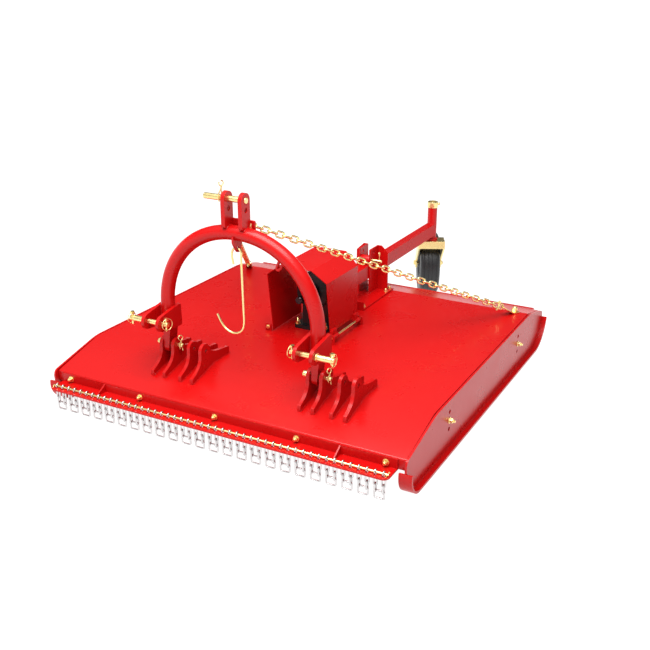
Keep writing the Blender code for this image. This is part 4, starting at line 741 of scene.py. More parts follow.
def makeHoop():
    # the pipe's outer and inner wall along the arch, then the plates: outlines carried across their thickness
    look = hoopLook
    radii = (look["pipeR"], look["pipeR"] - look["wall"])
    outer, inner = (tubeAlong(archLine(), radius, 36)[0].reshape(-1, 36, 3) for radius in radii)
    addPiece("hoopPipe", shellOf(np.concatenate([outer, inner[::-1]]), ring=True), redPaint, "hoop_body",
             sharp=40, replaces=("hoop",))
    y, bottom = look["y"], look["legBottom"]
    pin = (earLook["pinY"], earLook["pinZ"])
    nose = (clevisLook["pinY"], clevisLook["pinZ"])
    tongue = np.concatenate([[(y - 0.027, bottom + 0.030), (y - 0.029, bottom - 0.002),
                              (y - 0.028, bottom - 0.030)],
                             arcPoints((pin[0], pin[1] - look["tongueDrop"]), look["tongueR"], 180, 360, 28),
                             [(y + 0.027, bottom - 0.030), (y + 0.029, bottom - 0.002),
                              (y + 0.027, bottom + 0.030)]])
    linkPlate = np.concatenate([arcPoints(nose, clevisLook["noseR"], 265, 100, 30),
                                roundedOutline([(nose[0], 0.24, 0), (y + 0.030, 0.253, 0.010),
                                                (y + 0.033, 0.152, 0.014), (nose[0], 0.165, 0)],
                                               7, closed=False)[1:-1]])
    near, half = look["pipeR"] - clevisLook["sink"], look["tongueThick"] / 2
    for (side, name), middle in zip(bothSides, look["tongueX"]):
        points, faces = plate(tongue, middle - half, middle + half, holes=[circle(pin, 0.0101)])
        # thinner at its foot than under the pipe
        points[:, 0] = middle + (points[:, 0] - middle) * np.interp(points[:, 2], [0.045, 0.165],
                                                                    [0.80, 1.26])
        addPiece(f"hoopTongue{name}", (points, faces), redPaint, "hoop_body", look["edge"], 3)
        leg = look["x"] + side * look["half"]
        for face, where in ((-1, "A"), (1, "B")):
            low, high = sorted((leg + face * near, leg + face * (near + clevisLook["thick"])))
            addPiece(f"linkPlate{name}{where}", plate(linkPlate, low, high, holes=[circle(nose, 0.0113)]),
                     redPaint, "hoop_body", look["edge"], 3)
            beadX = leg + face * (near - 0.0012)
            addWeld(f"linkPlateWeld{name}{where}", "hoop_body",
                    *(weldBead(seam((beadX, y + k * 0.0135, 0.166), (beadX, y + k * 0.0135, 0.248), 20),
                               0.0042, toRear, seed=face + k) for k in (-1, 1)))
        angle = np.linspace(0, 2 * np.pi, 60)
        foot = rowsOf(leg + 0.0295 * np.cos(angle), y + 0.0295 * np.sin(angle), bottom - 0.0008)
        addWeld(f"legWeld{name}", "hoop_body", weldBead(foot, 0.0026, toTop, seed=side))
    makeMast()


def pipeTop(x):
    # height of the arch's centre line over a place X
    look = hoopLook
    share = np.clip(np.abs((floats(x) - look["x"]) / look["half"]), 0, 1)
    return look["archZ"] + look["half"] * (1 - share ** look["power"]) ** (1 / look["power"])


def makeMast():
    # two round-topped plates on the arch, the cross plate behind them, the hook's lug and the small eye
    look = mastLook
    x, y = hoopLook["x"], look["y"]
    front, behind = y - look["depth"] / 2, y + look["depth"] / 2
    toe = roundedOutline([(y - 0.010, look["bottom"], 0), (y - 0.010, look["toe"], 0),
                          (front, look["toe"], 0.010), (front, look["pinZ"], 0)], 8, closed=False)[:-1]
    outline = np.concatenate([toe, arcPoints((y, look["pinZ"]), look["depth"] / 2, 180, 0, 32),
                              [(behind, look["bottom"])]])
    holes = [circle((y, look["pinZ"]), look["pinR"] + gap), circle((y, look["spareZ"]), look["spareR"])]
    lugY, across = hoopLook["y"], np.linspace(-0.0285, 0.0255, 40)
    saddle = np.sqrt(np.maximum(hoopLook["pipeR"] ** 2 - (across - 0.0005) ** 2, 0))
    for side, name in bothSides:
        low, high = sorted((x + side * look["gap"] / 2, x + side * (look["gap"] / 2 + look["thick"])))
        addPiece(f"mastPlate{name}", plate(outline, low, high, holes=holes), redPaint, "hoop_body", 0.0030, 3)
        addWeld(f"mastWeld{name}", "hoop_body",
                *(weldBead(rowsOf(beadX, lugY + across, pipeTop(beadX) + saddle)[2:-2], 0.004, toRight,
                           seed=k + side)
                  for k, beadX in enumerate((low, high))))
    half, (low, high) = look["plateHalf"], look["plateZ"]
    cross = roundedOutline([(x - half, low, 0.005), (x + half, low, 0.005), (x + half, high, 0.008),
                            (x - half, high, 0.008)])
    addPiece("crossPlate", plate(cross, behind + 0.0002, behind + look["plateThick"], "Y"), redPaint,
             "hoop_body", 0.0018, 3)
    lug = roundedOutline([(lugY - 0.034, 0.600, 0), (lugY - 0.034, 0.574, 0.006),
                          (lugY - 0.004, 0.530, 0.010), (lugY + 0.012, 0.532, 0.010),
                          (lugY + 0.032, 0.572, 0.006), (lugY + 0.032, 0.600, 0)], 8)
    addPiece("hookLug", plate(lug, x - 0.004, x + 0.004, holes=[circle((lugY, 0.547), 0.0092)]), redPaint,
             "hoop_body", 0.0012)
    height = 0.5893 - 0.006 * np.cos(np.linspace(-1.2, 1.2, 20))
    addWeld("hookLugWeld", "hoop_body",
            *(weldBead(rowsOf(x + side * 0.0045, np.linspace(lugY - 0.022, lugY + 0.022, 20), height), 0.0032,
                       toRight, seed=side) for side in (-1, 1)))
    eye = [(0.194, 0.545), (0.1815, 0.5238), (0.170, 0.500), (0.1675, 0.4915), (0.171, 0.4862),
           (0.1775, 0.4865), (0.187, 0.496), (0.196, 0.512), (0.211, 0.5285)]
    addPiece("hoopEye", tubeAlong(smoothLine([(u, lugY, v) for u, v in eye], 44), 0.0062, 14), redPaint,
             "hoop_body", sharp=50)


makeHoop()


def makeTopPin():
    # a turned pin through both mast plates with its spring clip
    look = mastLook
    x, y = hoopLook["x"], look["y"]
    right = x + look["gap"] / 2 + look["thick"] + 0.004
    length = right + 0.156
    profile = rodProfile(length, look["pinR"], 0.003, 0.003, steps=4)
    addPiece("topLinkPin", turned(profile, (right, y, look["pinZ"]), toLeft), zinc, "hoop_body", sharp=32)
    clipX = x - look["gap"] / 2 - look["thick"] - 0.013
    clip = springClip((clipX, y, look["pinZ"]), (0.93, -0.36, 0), toTop, 0.026, 0.047, 0.0103, 0.0024,
                      look["pinR"] + 0.003)
    addPiece("topLinkClip", clip, zinc, "hoop_body", sharp=50)


lynchLook = {"r": 0.0050, "length": 0.060, "ringR": 0.0245, "wire": 0.0017, "inset": 0.010}


def lynchPin(place, away, turn):
    # a tapered pin with a square head, and a spring ring that snaps down round the link pin's end
    look = lynchLook
    x, y, z = place
    half = look["length"] / 2
    neck = look["length"] - 0.010
    pin = turned(softProfile([(0, 0.001), (0, look["r"] * 0.6, 0.001), (0.004, look["r"], 0.001),
                              (neck, look["r"], 0.001), (neck, look["r"] + 0.001)], 3), (x, y, z - half),
                 toTop, 16)
    head = plate(roundedOutline([(x - 0.0095, y - 0.004, 0.002), (x + 0.003, y - 0.0095, 0.002),
                                 (x + 0.0095, y + 0.004, 0.002), (x - 0.003, y + 0.0095, 0.002)], 4),
                 z + half - 0.0125, z + half, "Z")
    centre = (x + away * (look["r"] + look["wire"] * 0.5), y, z + half - 0.004 - look["ringR"])
    normal = (math.cos(math.radians(turn)), -math.sin(math.radians(turn)), 0)
    return joined(pin, head, ringOf(centre, normal, look["ringR"], look["wire"], 44, 10))


def makeLinkPins():
    # stepped turned pins through the link plates, a collar on each and a lynch pin near each end
    for side, name in bothSides:
        back = (-side, 0, 0)
        leg = hoopLook["x"] + side * hoopLook["half"]
        platesOut = hoopLook["pipeR"] + clevisLook["thick"] - clevisLook["sink"] + gap
        outer = leg + side * platesOut
        stub, tail, shank = 0.080, 0.026, clevisLook["pinR"]
        length = stub + 2 * platesOut + tail
        start = (outer + side * stub, clevisLook["pinY"], clevisLook["pinZ"])
        profile = softProfile([(0, 0.003), (0, 0.0115, 0.001), (0.002, 0.013, 0.001),
                               (stub - 0.004, 0.013, 0.0005), (stub - 0.003, 0.0128, 0.0005),
                               (stub, 0.0128), (stub, shank, 0.0003), (length - 0.002, shank, 0.001),
                               (length, shank - 0.002, 0.001), (length, 0.003)])
        collar = turned(sleeve(0.0131, 0.0175, 0.006), (outer + side * 0.006, start[1], start[2]), back)
        addPiece(f"lowerLinkPin{name}", joined(turned(profile, start, back), collar), zinc, "hoop_body",
                 sharp=32)
        outboard = start[0] - side * lynchLook["inset"]
        inboard = start[0] - side * (length - lynchLook["inset"])
        for x, letter, away, turn in ((outboard, "O", side, 0), (inboard, "I", -side, 18 if side < 0 else 6)):
            addPiece(f"lynchPin{name}{letter}", lynchPin((x, start[1], start[2]), away, turn), zinc,
                     "hoop_body", sharp=40, replaces=(f"lynch_pin_{name[0]}{letter}".lower(),))


makeTopPin()
makeLinkPins()

hookLook = {"r": 0.0045, "line": [(-0.021, 0.478), (-0.027, 0.510), (-0.024, 0.534), (-0.013, 0.545),
                                  (0, 0.546), (0.011, 0.542), (0.017, 0.528), (0.016, 0.500),
                                  (0.0175, 0.400), (0.019, 0.300), (0.020, 0.235), (0.012, 0.203),
                                  (-0.009, 0.185), (-0.037, 0.180), (-0.066, 0.190), (-0.089, 0.213),
                                  (-0.110, 0.251)]}
hookLine = smoothLine([(hoopLook["x"] + x, hoopLook["y"], z) for x, z in hookLook["line"]], 160)
addPiece("driveHook", tubeAlong(hookLine, hookLook["r"], 14), zinc, "hook_body", sharp=50,
         replaces=("pto_hook",))
print("hoop made")


guardLook = {"thick": 0.006, "top": -0.110, "rodR": 0.0048, "rodHalf": 0.7956, "y": -0.070,
             "pitch": 0.033, "count": 48, "groups": 4, "wire": 0.0036, "edge": 0.0009, "ringFoot": -0.1275,
             "linkZ": (-0.1402, -0.1680, -0.1950), "boltPitch": 0.377, "boltZ": -0.094,
             "boltHead": (0.018, 0.0095, 0.0135, 0.0025), "boltNut": (0.017, 0.008, 0.012),
             "linkSize": (0.0170, 0.0068, 0.0045), "splitWire": 0.0011}
dressedCopy("guard_bracket", "guardBracket", redPaint, guardLook["edge"], 2)


def makeGuard():
    # the rod with its split pins, then a ring and two links for each chain and a foot link for each two
    look = guardLook
    y, wire, pitch = look["y"], look["wire"], look["pitch"]
    rodZ = look["top"] + look["rodR"] + gap
    addPiece("guardRod", turned(rodProfile(2 * look["rodHalf"], look["rodR"], 0.001),
                                (-look["rodHalf"], y, rodZ), toRight, 20), chainZinc, sharp=32)
    splits = []
    for side in (-1, 1):
        x = side * (look["rodHalf"] - 0.006)
        leg = smoothLine([(x, y + along, rodZ + lift) for along, lift in
                          ((-0.014, -0.004), (-0.008, -0.001), (0, 0), (0.009, 0), (0.015, 0.005))], 20)
        mirrored = leg * [1, 1, 0] + [0, 0, 1] * (2 * rodZ - leg[:, 2:])
        splits += [tubeAlong(path, look["splitWire"], 8, toRight) for path in (leg, mirrored)]
        splits += [ringOf((x, y + 0.0175, rodZ), toRight, 0.0036, look["splitWire"], 16)]
    addPiece("guardSplitPins", joined(*splits), zinc, sharp=50)
    ringXs = (np.arange(look["count"]) - (look["count"] - 1) / 2) * pitch
    top, foot = rodZ + look["rodR"] + wire + 0.0004, look["ringFoot"]
    rings = [link((x, y, (top + foot) / 2), toTop, toRear, (top - foot) / 2, 0.0081, wire, 20, 10)
             for x in ringXs]
    addPiece("guardRings", joined(*rings), brightSteel, sharp=60)
    upper, lower, foot = look["linkZ"]
    for group, xs in enumerate(np.split(ringXs, look["groups"])):
        links = [squareLink((x, y, z), toTop, across, *look["linkSize"], wire)
                 for x in xs for z, across in ((upper, toRight), (lower, toRear))]
        links += [squareLink((x + pitch / 2, y, foot), toRight, toTop, pitch / 2 + 0.004, 0.0160, 0.007, wire)
                  for x in xs[::2]]
        addPiece(f"chainStrands{group + 1}", joined(*links), brightSteel, f"curtain_{group + 1}", sharp=60,
                 replaces=(f"chain_curtain_{group + 1}",))
    for index in range(5):
        x, faceY, z = (index - 2) * look["boltPitch"], -gap - look["thick"], look["boltZ"]
        bolt = joined(hexHead((x, faceY - 0.0002, z), toFront, *look["boltHead"]),
                      turned([(0, 0.0064), (0.0072, 0.0064), (0.0082, 0.0056), (0.0086, 0.004)],
                             (x, faceY - 0.0105, z), toFront, 20),
                      threadRod((x, 0.0, z), toRear, 0.005, 0.020),
                      hexHead((x, 0.0052, z), toRear, *look["boltNut"]))
        addPiece(f"guardBolt{index + 1}", bolt, zinc, sharp=32)


makeGuard()
print("chain guard made")


chainLookSizes = {"wire": 0.0041, "inside": 0.0354, "halfWidth": 0.0122, "anchorX": 0.768, "anchorY": 1.455,
                  "topZ": 0.635, "topR": 0.011, "strapThick": 0.006, "strapWidth": 0.034, "strapFoot": 0.018,
                  "strapArm": 0.083, "strapRise": 33.0, "bow": 0.034, "bowR": 0.0135,
                  "faceAway": (0.44, -0.82, 0.37), "domeNut": (0.0240, 0.0145, 0.0155, 0.0023),
                  "underHead": (0.019, 0.008, 0.0125), "bowHead": (0.0125, 0.0100),
                  "pinSteps": ((-0.0225, 0.0210, 6, 0.0042), (-0.0175, -0.0100, 4, 0.0066))}


def makeSupportChain(side, name):
    # a bent strap bolted to the deck, a shackle, and links at equal steps, every other one turned a quarter
    look = chainLookSizes
    behind = mastLook["y"] + mastLook["depth"] / 2 + mastLook["plateThick"]
    level = gap + look["strapThick"] / 2
    bolt = np.array([side * look["anchorX"], look["anchorY"], level])
    top = np.array([hoopLook["x"] + side * (mastLook["plateHalf"] - look["topR"]), behind, look["topZ"]])
    heading = unit([top[0] - bolt[0], top[1] - bolt[1], 0])
    sideways, lift = unit(np.cross(toTop, heading)), floats(toTop)
    rise = math.radians(look["strapRise"])
    arm = heading * math.cos(rise) + lift * math.sin(rise)
    armLift = np.cross(arm, np.cross(lift, arm))
    # strap: a line from behind the bolt to the bend and up the arm, given its width along the level side
    bend = bolt + heading * look["strapFoot"]
    armEnd = bend + arm * look["strapArm"]
    bends = bezierThrough(bolt - heading * look["strapFoot"] * 0.95, bend, armEnd)
    share = np.interp(np.linspace(0, 1, len(bends)), [0.35, 0.65], [0, 1])[:, None]
    up = unit(lift * (1 - share) + armLift * share) * look["strapThick"] / 2
    wide = sideways * look["strapWidth"] / 2
    rows = np.stack([bends + up + wide, bends + up - wide, bends - up - wide, bends - up + wide], 1)
    addPiece(f"chainStrap{name}", shellOf(rows), zinc, "frame", 0.0014,
             replaces=(f"chain_anchor_{name.lower()}",))
    nutPlace = (bolt[0], bolt[1], gap + look["strapThick"])
    angle = np.radians(np.linspace(0, 84, 12))
    dome = np.stack([0.0155 + 0.0120 * np.sin(angle), 0.0122 * np.cos(angle)], -1)
    nut = joined(hexHead(nutPlace, toTop, *look["domeNut"]), turned(dome, nutPlace, toTop, 24),
                 hexHead((bolt[0], bolt[1], -0.0055), toFloor, *look["underHead"]))
    addPiece(f"chainBolt{name}", nut, zinc, sharp=32)
    # shackle: a bow through the strap's end, closed by a bolt that holds the last link
    eye = armEnd - arm * 0.011
    along = unit(top - eye)
    pinLift = unit(np.cross(along, np.cross(lift, along)))
    grip = eye + along * look["bow"]
    bowAngle, bowR = np.radians(np.linspace(-90, 90, 22)), look["bowR"]
    straight = look["bow"] - bowR
    curve = np.stack([straight + bowR * np.cos(bowAngle), bowR * np.sin(bowAngle)], -1)
    bow = np.concatenate([[grip - pinLift * bowR], inPlane(curve, grip, -along, pinLift),
                          [grip + pinLift * bowR]])
    shackle = joined(tubeAlong(bow, 0.0034, 12, sideways),
                     *(tubeAlong(seam(grip + pinLift * low, grip + pinLift * high, count), wire, 14, sideways)
                       for low, high, count, wire in look["pinSteps"]),
                     hexHead(grip + pinLift * 0.0160, pinLift, *look["bowHead"]))
    addPiece(f"chainShackle{name}", shackle, zinc, sharp=36)
    start = top + np.array([0, 0.004, 0])
    end = grip - along * 0.0044
    span = np.linalg.norm(end - start)
    count = int(round((span - 2 * look["wire"]) / look["inside"]))
    pitch = span / count
    toward = unit(start - end)
    seen = unit(np.cross(toward, look["faceAway"]))
    flat = unit(np.cross(toward, seen))
    places = end + toward * ((np.arange(count) + 0.5) * pitch)[:, None]
    halfLength = pitch / 2 + look["wire"] * 0.93
    links = [link(place, toward, flat if k % 2 else seen, halfLength, look["halfWidth"], look["wire"])
             for k, place in enumerate(places)]
    chain = addPiece(f"supportChain{name}", joined(*links), chainZinc, None, sharp=60)
    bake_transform(chain)
    hanger = joined(turned(sleeve(0.003, 0.0072, 0.008, steps=3), top + [0, 0.0002, 0], toRear, 20),
                    ringOf(start + toward * 0.004, np.cross(toward, toTop), 0.0128, 0.0042, 28, 10))
    addPiece(f"chainHanger{name}", hanger, zinc, "hoop_body", sharp=40)


for side, name in bothSides:
    makeSupportChain(side, name)
print("support chains made")


boxLook = {"y": 0.870, "inputZ": 0.180, "end": 0.674, "length": 0.150, "footZ": 0.018, "boltR": 0.038,
           "footX": 0.072, "footY": 0.078, "flangeBolt": (0.010, 0.005),
           "footNut": (0.019, 0.011, 0.0135, 0.006, 0.019), "plugZ": 0.272, "plugHead": (0.017, 0.007, 0.012)}
dressedCopy("gearbox_housing", "gearboxCasting", blackPaint, 0.004, 3)


def makeGearboxTrim():
    # the input's rim and seal, both turned, four small bolts round it, four foot nuts and the filler plug
    look = boxLook
    face, z = look["y"] - look["length"] / 2 - 0.0225, look["inputZ"]
    rim = turned(sleeve(0.0200, 0.046, 0.007, 0.002), (0, face, z), toRear, 40, ring=True)
    seal = turned([(0, 0.0185), (0, 0.030), (0.004, 0.031), (0.004, 0.0185)], (0, face - 0.002, z), toRear,
                  40, ring=True)
    addPiece("gearboxFlange", joined(rim, seal), blackPaint, sharp=36)
    bolts = [hexHead((look["boltR"] * math.cos(turn), face, z + look["boltR"] * math.sin(turn)), toFront,
                     *look["flangeBolt"]) for turn in fullTurn(4) + np.pi / 4]
    bolts += [studNut((x * look["footX"], look["y"] + y * look["footY"], look["footZ"]), toTop,
                      *look["footNut"])
              for x in (-1, 1) for y in (-1, 1)]
    addPiece("gearboxBolts", joined(*bolts), zinc, sharp=32)
    place = (0, look["y"] + 0.010, look["plugZ"])
    plug = joined(hexHead(place, toTop, *look["plugHead"]),
                  turned([(0, 0.004), (0.012, 0.004), (0.013, 0.003)], place, toTop, 16))
    addPiece("gearboxPlug", plug, zinc, sharp=32)


def makeInputShaft():
    # six splines: the radius steps down between them, with a locking groove and a chamfered end
    wave = np.clip(np.cos(fullTurn(120) * 6) * 6 + 0.9, -1, 1) * 0.5 + 0.5
    along, outer, root = np.array([(0, 0.002, 0.002), (0, 0.0150, 0.0145), (0.0025, 0.0174, 0.0148),
                                   (0.030, 0.0174, 0.0148), (0.032, 0.0150, 0.0148), (0.036, 0.0150, 0.0148),
                                   (0.038, 0.0174, 0.0148), (0.082, 0.0174, 0.0148), (0.086, 0.0174, 0.0174),
                                   (0.264, 0.0174, 0.0174)]).T
    reach = root[:, None] + (outer - root)[:, None] * wave
    addPiece("inputShaft", spun((0, boxLook["end"], boxLook["inputZ"]), toRear, along, reach), oiledSteel,
             "drive", sharp=30)


makeGearboxTrim()
makeInputShaft()


def bevelGear(teeth, profile, axis):
    # a turned profile whose toothed rows fall and rise with cos(teeth x angle), squared off
    wave = np.clip(np.cos(fullTurn(teeth * 8) * teeth) * 2.2, -1, 1) * 0.5 - 0.5
    along, radius, dip, lean = floats(profile).T[..., None]
    return spun((0, boxLook["y"], boxLook["inputZ"]), axis, along - lean * wave, radius + dip * wave,
                ring=True)


crownR, pinionR, near = 0.065, 0.035, 0.615
crown = bevelGear(26, [(pinionR * near, 0.0178, 0, 0), (pinionR * near, crownR * near, 0.0012, 0.002),
                       (pinionR, crownR, 0.0022, 0.0042), (pinionR + 0.008, crownR - 0.010, 0, 0),
                       (pinionR + 0.008, 0.030, 0, 0), (pinionR + 0.018, 0.030, 0, 0),
                       (pinionR + 0.018, 0.0178, 0, 0)], toFront)
addPiece("crownGear", crown, shaftSteel, "drive", sharp=32)
pinion = bevelGear(14, [(crownR * near, 0.0153, 0, 0),
                        (crownR * near, pinionR * near - 0.0026, 0.002, 0.0012),
                        (crownR, pinionR - 0.0034, 0.0042, 0.0022), (crownR + 0.006, pinionR - 0.008, 0, 0),
                        (crownR + 0.012, pinionR - 0.008, 0, 0), (crownR + 0.012, 0.0153, 0, 0)], toFloor)
addPiece("pinionGear", pinion, shaftSteel, "rotor", sharp=32)
dressedCopy("rotor_shaft", "rotorShaft", shaftSteel, 0.0006, 2)
dressedCopy("blade_carrier", "bladeCarrier", blackPaint, 0.0014, 2)
dressedCopy("blade_left", "bladeLeft", bladeSteel, 0.0010, 2)
dressedCopy("blade_right", "bladeRight", bladeSteel, 0.0010, 2)
cutterLook = {"pivot": 0.355, "carrierZ": -0.150, "carrierThick": 0.014, "bladeThick": 0.010,
              "nut": (0.032, 0.0115, 0.0189, 0.0025), "headR": 0.021, "head": 0.012}
low = cutterLook["carrierZ"] - cutterLook["bladeThick"] - 2 * gap
top = cutterLook["carrierZ"] + cutterLook["carrierThick"] + gap
headR, head = cutterLook["headR"], cutterLook["head"]
dome = softProfile([(0, 0.004), (0, headR - 0.003, 0.004), (0.003, headR, 0.003), (head, headR, 0.001),
                    (head, 0.012), (head + top - low, 0.012)])
for side, name in bothSides:
    x, y = side * cutterLook["pivot"], boxLook["y"]
    shell = joined(turned(dome, (x, y, low - head), toTop),
                   hexHead((x, y, top), toTop, *cutterLook["nut"]),
                   threadRod((x, y, top + 0.002), toTop, 0.0118, 0.0118, 0.0020))
    addPiece(f"bladeBolt{name}", shell, zinc, "rotor", sharp=32)
print("gearbox and cutter made")


hoodLook = {"hingeX": 0.170, "hingeZ": 0.030, "rodR": 0.0055, "rodLength": 0.302, "rodStart": 0.666,
            "latchX": -0.171, "latchZ": 0.020, "latchHead": (0.013, 0.006, 0.0098),
            "latchNut": (0.013, 0.006, 0.0095)}
dressedCopy("hood", "driveHood", redPaint, 0.0009, 2)
addPiece("hoodRod", turned(rodProfile(hoodLook["rodLength"], hoodLook["rodR"], 0.001, rounding=0.0008),
                           (hoodLook["hingeX"], hoodLook["rodStart"], hoodLook["hingeZ"]), toRear, 20), zinc,
         sharp=32)
latchX, latchZ = hoodLook["latchX"], hoodLook["latchZ"]
latch = joined(hexHead((latchX, 0.6858, latchZ), toFront, *hoodLook["latchHead"]),
               threadRod((latchX, 0.692, latchZ), toRear, 0.004, 0.014),
               hexHead((latchX, 0.6922, latchZ), toRear, *hoodLook["latchNut"]))
addPiece("hoodLatchBolt", latch, zinc, sharp=32)
print("hood made")


tailLook = {"plate": 0.008, "armMid": 0.122, "armPinY": 1.085, "armPinR": 0.010, "reach": 0.0343,
            "heightY": 1.370, "heightZ": 0.181, "heightR": 0.008, "spacerR": 0.0237, "boltX": 0.090,
            "boltY": (1.160, 1.421, 1.466), "heightEnd": 0.085, "lugInner": 0.026,
            "baseNut": (0.017, 0.008, 0.0120, 0.005, 0.007), "beadR": 0.0034}
dressedCopy("tail_base", "tailBase", redPaint, 0.0012, 2)
dressedCopy("tail_arm", "tailArm", redPaint, 0.0035, 3)


def makeTailPins():
    # the arm's pivot pin and the height pin, both turned, with their clips, the spacer, nuts and beads
    look = tailLook
    reach, z, pinY = look["reach"], look["armMid"], look["armPinY"]
    heightY, heightZ = look["heightY"], look["heightZ"]
    pivot = headedProfile(0.015, 0.009, look["armPinR"], 2 * reach + 0.020)
    addPiece("armPivotPin", turned(pivot, (-reach - 0.009, pinY, z), toRight), zinc, sharp=32)
    addPiece("armPivotClip", ringClip((reach + 0.006, pinY, z), 0.030, 0.0015, 0.005, toRight, 0.55), zinc,
             sharp=50)
    end, inner, floor = look["heightEnd"], look["lugInner"], gap + look["plate"]
    height = headedProfile(0.012, 0.008, look["heightR"], reach + 0.008 + end)
    addPiece("heightPin", turned(height, (-reach - 0.008, heightY, heightZ), toRight, 28), zinc, sharp=32)
    addPiece("heightClip", ringClip((end - 0.012, heightY, heightZ), 0.048, 0.0022, 0.008, toRight, 0.3),
             zinc, sharp=50)
    addPiece("heightSpacer", turned(sleeve(0.0084, look["spacerR"], 0.0514), (-inner + gap, heightY, heightZ),
                                    toRight, 40, ring=True), redPaint, sharp=36)
    bolts = [studNut((side * look["boltX"], y, floor), toTop, *look["baseNut"])
             for side in (-1, 1) for y in look["boltY"]]
    addPiece("tailBaseBolts", joined(*bolts), zinc, sharp=32)
    beadX = inner + look["plate"] + 0.0008
    addWeld("tailBaseWelds", "frame",
            *(weldBead(rowsOf(side * beadX, np.linspace(start, stop, 12), floor + 0.0006), look["beadR"],
                       toRight, seed=side + more)
              for side in (-1, 1) for start, stop, more in ((1.125, 1.185, 0), (1.350, 1.438, 2))))


makeTailPins()


castorLook = {"turn": 27.0, "swivelY": 2.258, "swivelTop": 0.252, "stemR": 0.020, "collarR": 0.0302,
              "collar": 0.034, "forkHalf": 0.0775, "trail": 0.155, "axleZ": -0.138, "axleR": 0.010,
              "wheelR": 0.1899, "tyreHalf": 0.061, "rimR": 0.090, "boltR": 0.046, "boltOut": 0.0122,
              "rimBolt": (0.013, 0.006, 0.0095), "screwHead": (0.0145, 0.0078),
              "axleHead": (0.0262, 0.0105), "axleNut": (0.0262, 0.0095)}


def castorPlace(shell):
    # points of the castor's own frame turned about its swivel, then moved to it
    points, faces = shell
    points = np.reshape(points, (-1, 3))
    turn = math.radians(castorLook["turn"])
    c, s = math.cos(turn), math.sin(turn)
    return points @ np.array([[c, s, 0], [-s, c, 0], [0, 0, 1]]) + [0, castorLook["swivelY"], 0], faces


dressedCopy("castor_fork", "castorFork", zinc, 0.0012, 2)


def makeCastor():
    # the collar with its screw, and the axle with its head and nut
    look = castorLook
    low = look["swivelTop"] + gap
    ring = turned(sleeve(look["stemR"] + 0.0004, look["collarR"], look["collar"], 0.0015, 0.0025, 5),
                  (0, 0, low), toTop, 48, ring=True)
    screw = joined(turned([(0, 0.0055), (0.009, 0.0055)], (look["collarR"] - 0.004, 0, low + 0.0204),
                          toRight, 16),
                   hexHead((look["collarR"] + 0.004, 0, low + 0.0204), toRight, *look["screwHead"]))
    addPiece("castorCollar", castorPlace(joined(ring, screw)), zinc, "castor", sharp=34)
    reach = look["forkHalf"] + gap
    centre = (-reach, look["trail"], look["axleZ"])
    axle = joined(hexHead(centre, toLeft, *look["axleHead"]),
                  turned([(0, look["axleR"] - 0.0002), (2 * reach, look["axleR"] - 0.0002)], centre,
                         toRight, 24),
                  hexHead((reach, look["trail"], look["axleZ"]), toRight, *look["axleNut"]),
                  threadRod((reach + 0.008, look["trail"], look["axleZ"]), toRight, 0.0095, 0.0058, 0.002))
    addPiece("wheelAxle", castorPlace(axle), zinc, "castor", sharp=32)
    makeWheel()


def makeWheel():
    # tyre and rim: one side's profile mirrored and turned once round the axle, then the rim's bolts
    look = castorLook
    hub = (0, look["trail"], look["axleZ"])
    half, radius, seat = look["tyreHalf"], look["wheelR"], look["rimR"] + gap
    # one side of the tyre from bead to tread: (out from the middle, radius, rounding)
    side = [(0.040, seat, 0), (0.047, seat, 0.003), (0.053, seat + 0.008, 0.005),
            (half - 0.0015, seat + 0.034, 0.016), (half, seat + 0.060, 0.008),
            (half - 0.001, radius - 0.030, 0.010), (half - 0.004, radius - 0.016, 0.008),
            (half - 0.013, radius - 0.0042, 0.009), (half - 0.0225, radius - 0.0017, 0.002),
            (half - 0.0235, radius - 0.0037, 0.0004), (half - 0.0262, radius - 0.0037, 0.0004),
            (half - 0.0272, radius - 0.0011, 0.002), (0.013, radius - 0.0003, 0.002),
            (0.012, radius - 0.0022, 0.0004), (0.0095, radius - 0.0022, 0.0004),
            (0.0085, radius - 0.0001, 0.002), (0, radius, 0)]
    right = softProfile(side, 6)
    profile = np.concatenate([right * [-1, 1], right[::-1][1:]])
    addPiece("wheelTyre", castorPlace(turned(profile, hub, toRight, 128, ring=True)), rubber, "wheel",
             sharp=40)
    rimRight = softProfile([(0.060, 0.0104), (0.060, 0.022, 0.003), (0.013, 0.024, 0.006),
                            (0.012, 0.060, 0.010), (0.020, 0.074, 0.010),
                            (0.040, look["rimR"] - 0.010, 0.006), (0.0435, look["rimR"] - 0.001, 0.003),
                            (0.0395, look["rimR"])], 5)
    rim = turned(np.concatenate([rimRight * [-1, 1], rimRight[::-1]]), hub, toRight, 64, ring=True)
    bolts = [hexHead((face * look["boltOut"], look["trail"] + look["boltR"] * math.cos(turn),
                      look["axleZ"] + look["boltR"] * math.sin(turn)), (face, 0, 0), *look["rimBolt"])
             for turn in fullTurn(5) + math.radians(18) for face in (1, -1)]
    addPiece("wheelRim", castorPlace(rim), blackPaint, "wheel", sharp=34)
    addPiece("wheelBolts", castorPlace(joined(*bolts)), zinc, "wheel", sharp=32)


makeCastor()
print("tail and castor made")


viewLook = {"azimuth": 28.2823, "elevation": 21.6733, "target": (0.02938, 0.87125, 0.0), "distance": 4.3914,
            "lens": 51.463}


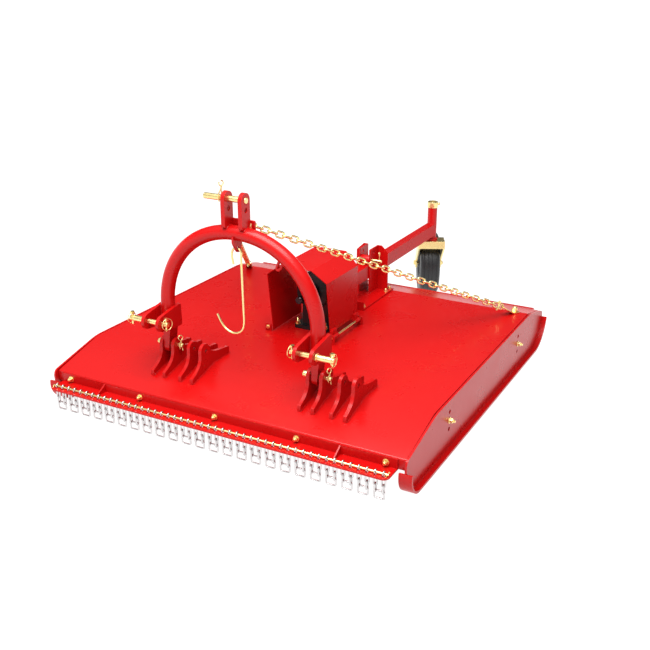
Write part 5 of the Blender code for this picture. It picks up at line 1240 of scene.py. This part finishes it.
def makeCamera():
    # the place is target + back * distance, with back from the azimuth and the elevation
    look = viewLook
    a, e = math.radians(look["azimuth"]), math.radians(look["elevation"])
    back = np.array([math.sin(a) * math.cos(e), -math.cos(a) * math.cos(e), math.sin(e)])
    right = np.array([math.cos(a), math.sin(a), 0])
    up = np.cross(back, right)
    place = onGround(np.array(look["target"]) + back * look["distance"])
    camera = bpy.data.cameras.new("photoView")
    camera.lens, camera.sensor_width = look["lens"], 36.0
    camera.clip_end = 400
    holder = addObject("photoView", camera)
    matrix = Matrix.Identity(4)
    for column, direction in enumerate((right, up, back)):
        matrix.col[column].xyz = tipTurn @ direction
    matrix.col[3].xyz = place
    holder.matrix_world = matrix
    bpy.context.scene.camera = holder


makeCamera()

studioLook = {"rings": ((0.5, 0.0), (2.0, 0.0), (4.0, 0.0), (8.0, 0.0), (20.0, 0.0), (32.0, 0.3), (46.0, 1.7),
                        (60.0, 4.4), (72.0, 12.0)),
              "floorColour": (0.16, 0.16, 0.16), "floorGlow": 1.02, "sky": 0.85, "low": 0.05, "front": 0.80,
              "keySize": 3.0, "keyPlace": (0.25, -2.0, 3.8), "keyTilt": 22.0, "keyPower": 272.0}


def makeStudio():
    # floor: rings of growing radius, level under the object and rising far behind it;
    # the sky's strength is front * above + sky, each one a smooth step of the direction
    look = studioLook
    angle = fullTurn(96)
    rings = np.stack([rowsOf(r * np.cos(angle), r * np.sin(angle), z) for r, z in look["rings"]])
    mesh = bpy.data.meshes.new("floor")
    mesh.from_pydata(rings.reshape(-1, 3).tolist(), [], gridFaces(len(rings), 96) + [list(range(96))])
    shell = openMesh(mesh)
    bmesh.ops.recalc_face_normals(shell, faces=shell.faces)
    shell.to_mesh(mesh)
    shell.free()
    if mesh.polygons[0].normal.z < 0:
        mesh.flip_normals()
    floor = addObject("floor", mesh)
    material, tree, shader, place = blankMaterial("paleFloor", Roughness=0.9, Specular_IOR_Level=0.1,
                                                  Emission_Strength=look["floorGlow"])
    shader.inputs["Emission Color"].default_value = (1, 1, 1, 1)
    tint = noiseMap(tree, place, 0.7, 3.0)
    paler = tuple(c * 0.985 for c in look["floorColour"])
    tree.links.new(mixColours(tree, tint, look["floorColour"], paler), shader.inputs["Base Color"])
    mesh.materials.append(material)

    world = bpy.data.worlds.new("softSky")
    bpy.context.scene.world = world
    world.use_nodes = True
    tree = world.node_tree
    background = tree.nodes["Background"]
    coords = addNode(tree, "ShaderNodeTexCoord")
    split = addNode(tree, "ShaderNodeSeparateXYZ")
    tree.links.new(coords.outputs["Generated"], split.inputs[0])
    smooth = {"interpolation_type": "SMOOTHSTEP"}
    sky = ranged(tree, split.outputs["Z"], 0.36, 0.95, look["low"], look["sky"], **smooth)
    front = ranged(tree, split.outputs["Y"], 0.15, -0.75, 0.0, look["front"], **smooth)
    above = ranged(tree, split.outputs["Z"], 0.12, 0.55, **smooth)
    total = addNode(tree, "ShaderNodeMath", operation="MULTIPLY_ADD")
    for index, part in enumerate((front, above, sky)):
        tree.links.new(part, total.inputs[index])
    tree.links.new(total.outputs["Value"], background.inputs["Strength"])
    background.inputs["Color"].default_value = (1, 1, 1, 1)

    lamp = bpy.data.lights.new("overheadBox", "AREA")
    lamp.shape, lamp.size, lamp.energy = "SQUARE", look["keySize"], look["keyPower"]
    holder = addObject("overheadBox", lamp)
    holder.location = look["keyPlace"]
    holder.rotation_euler = (math.radians(look["keyTilt"]), 0, 0)


makeStudio()
bpy.context.scene.view_settings.view_transform = "Standard"
print("studio made")
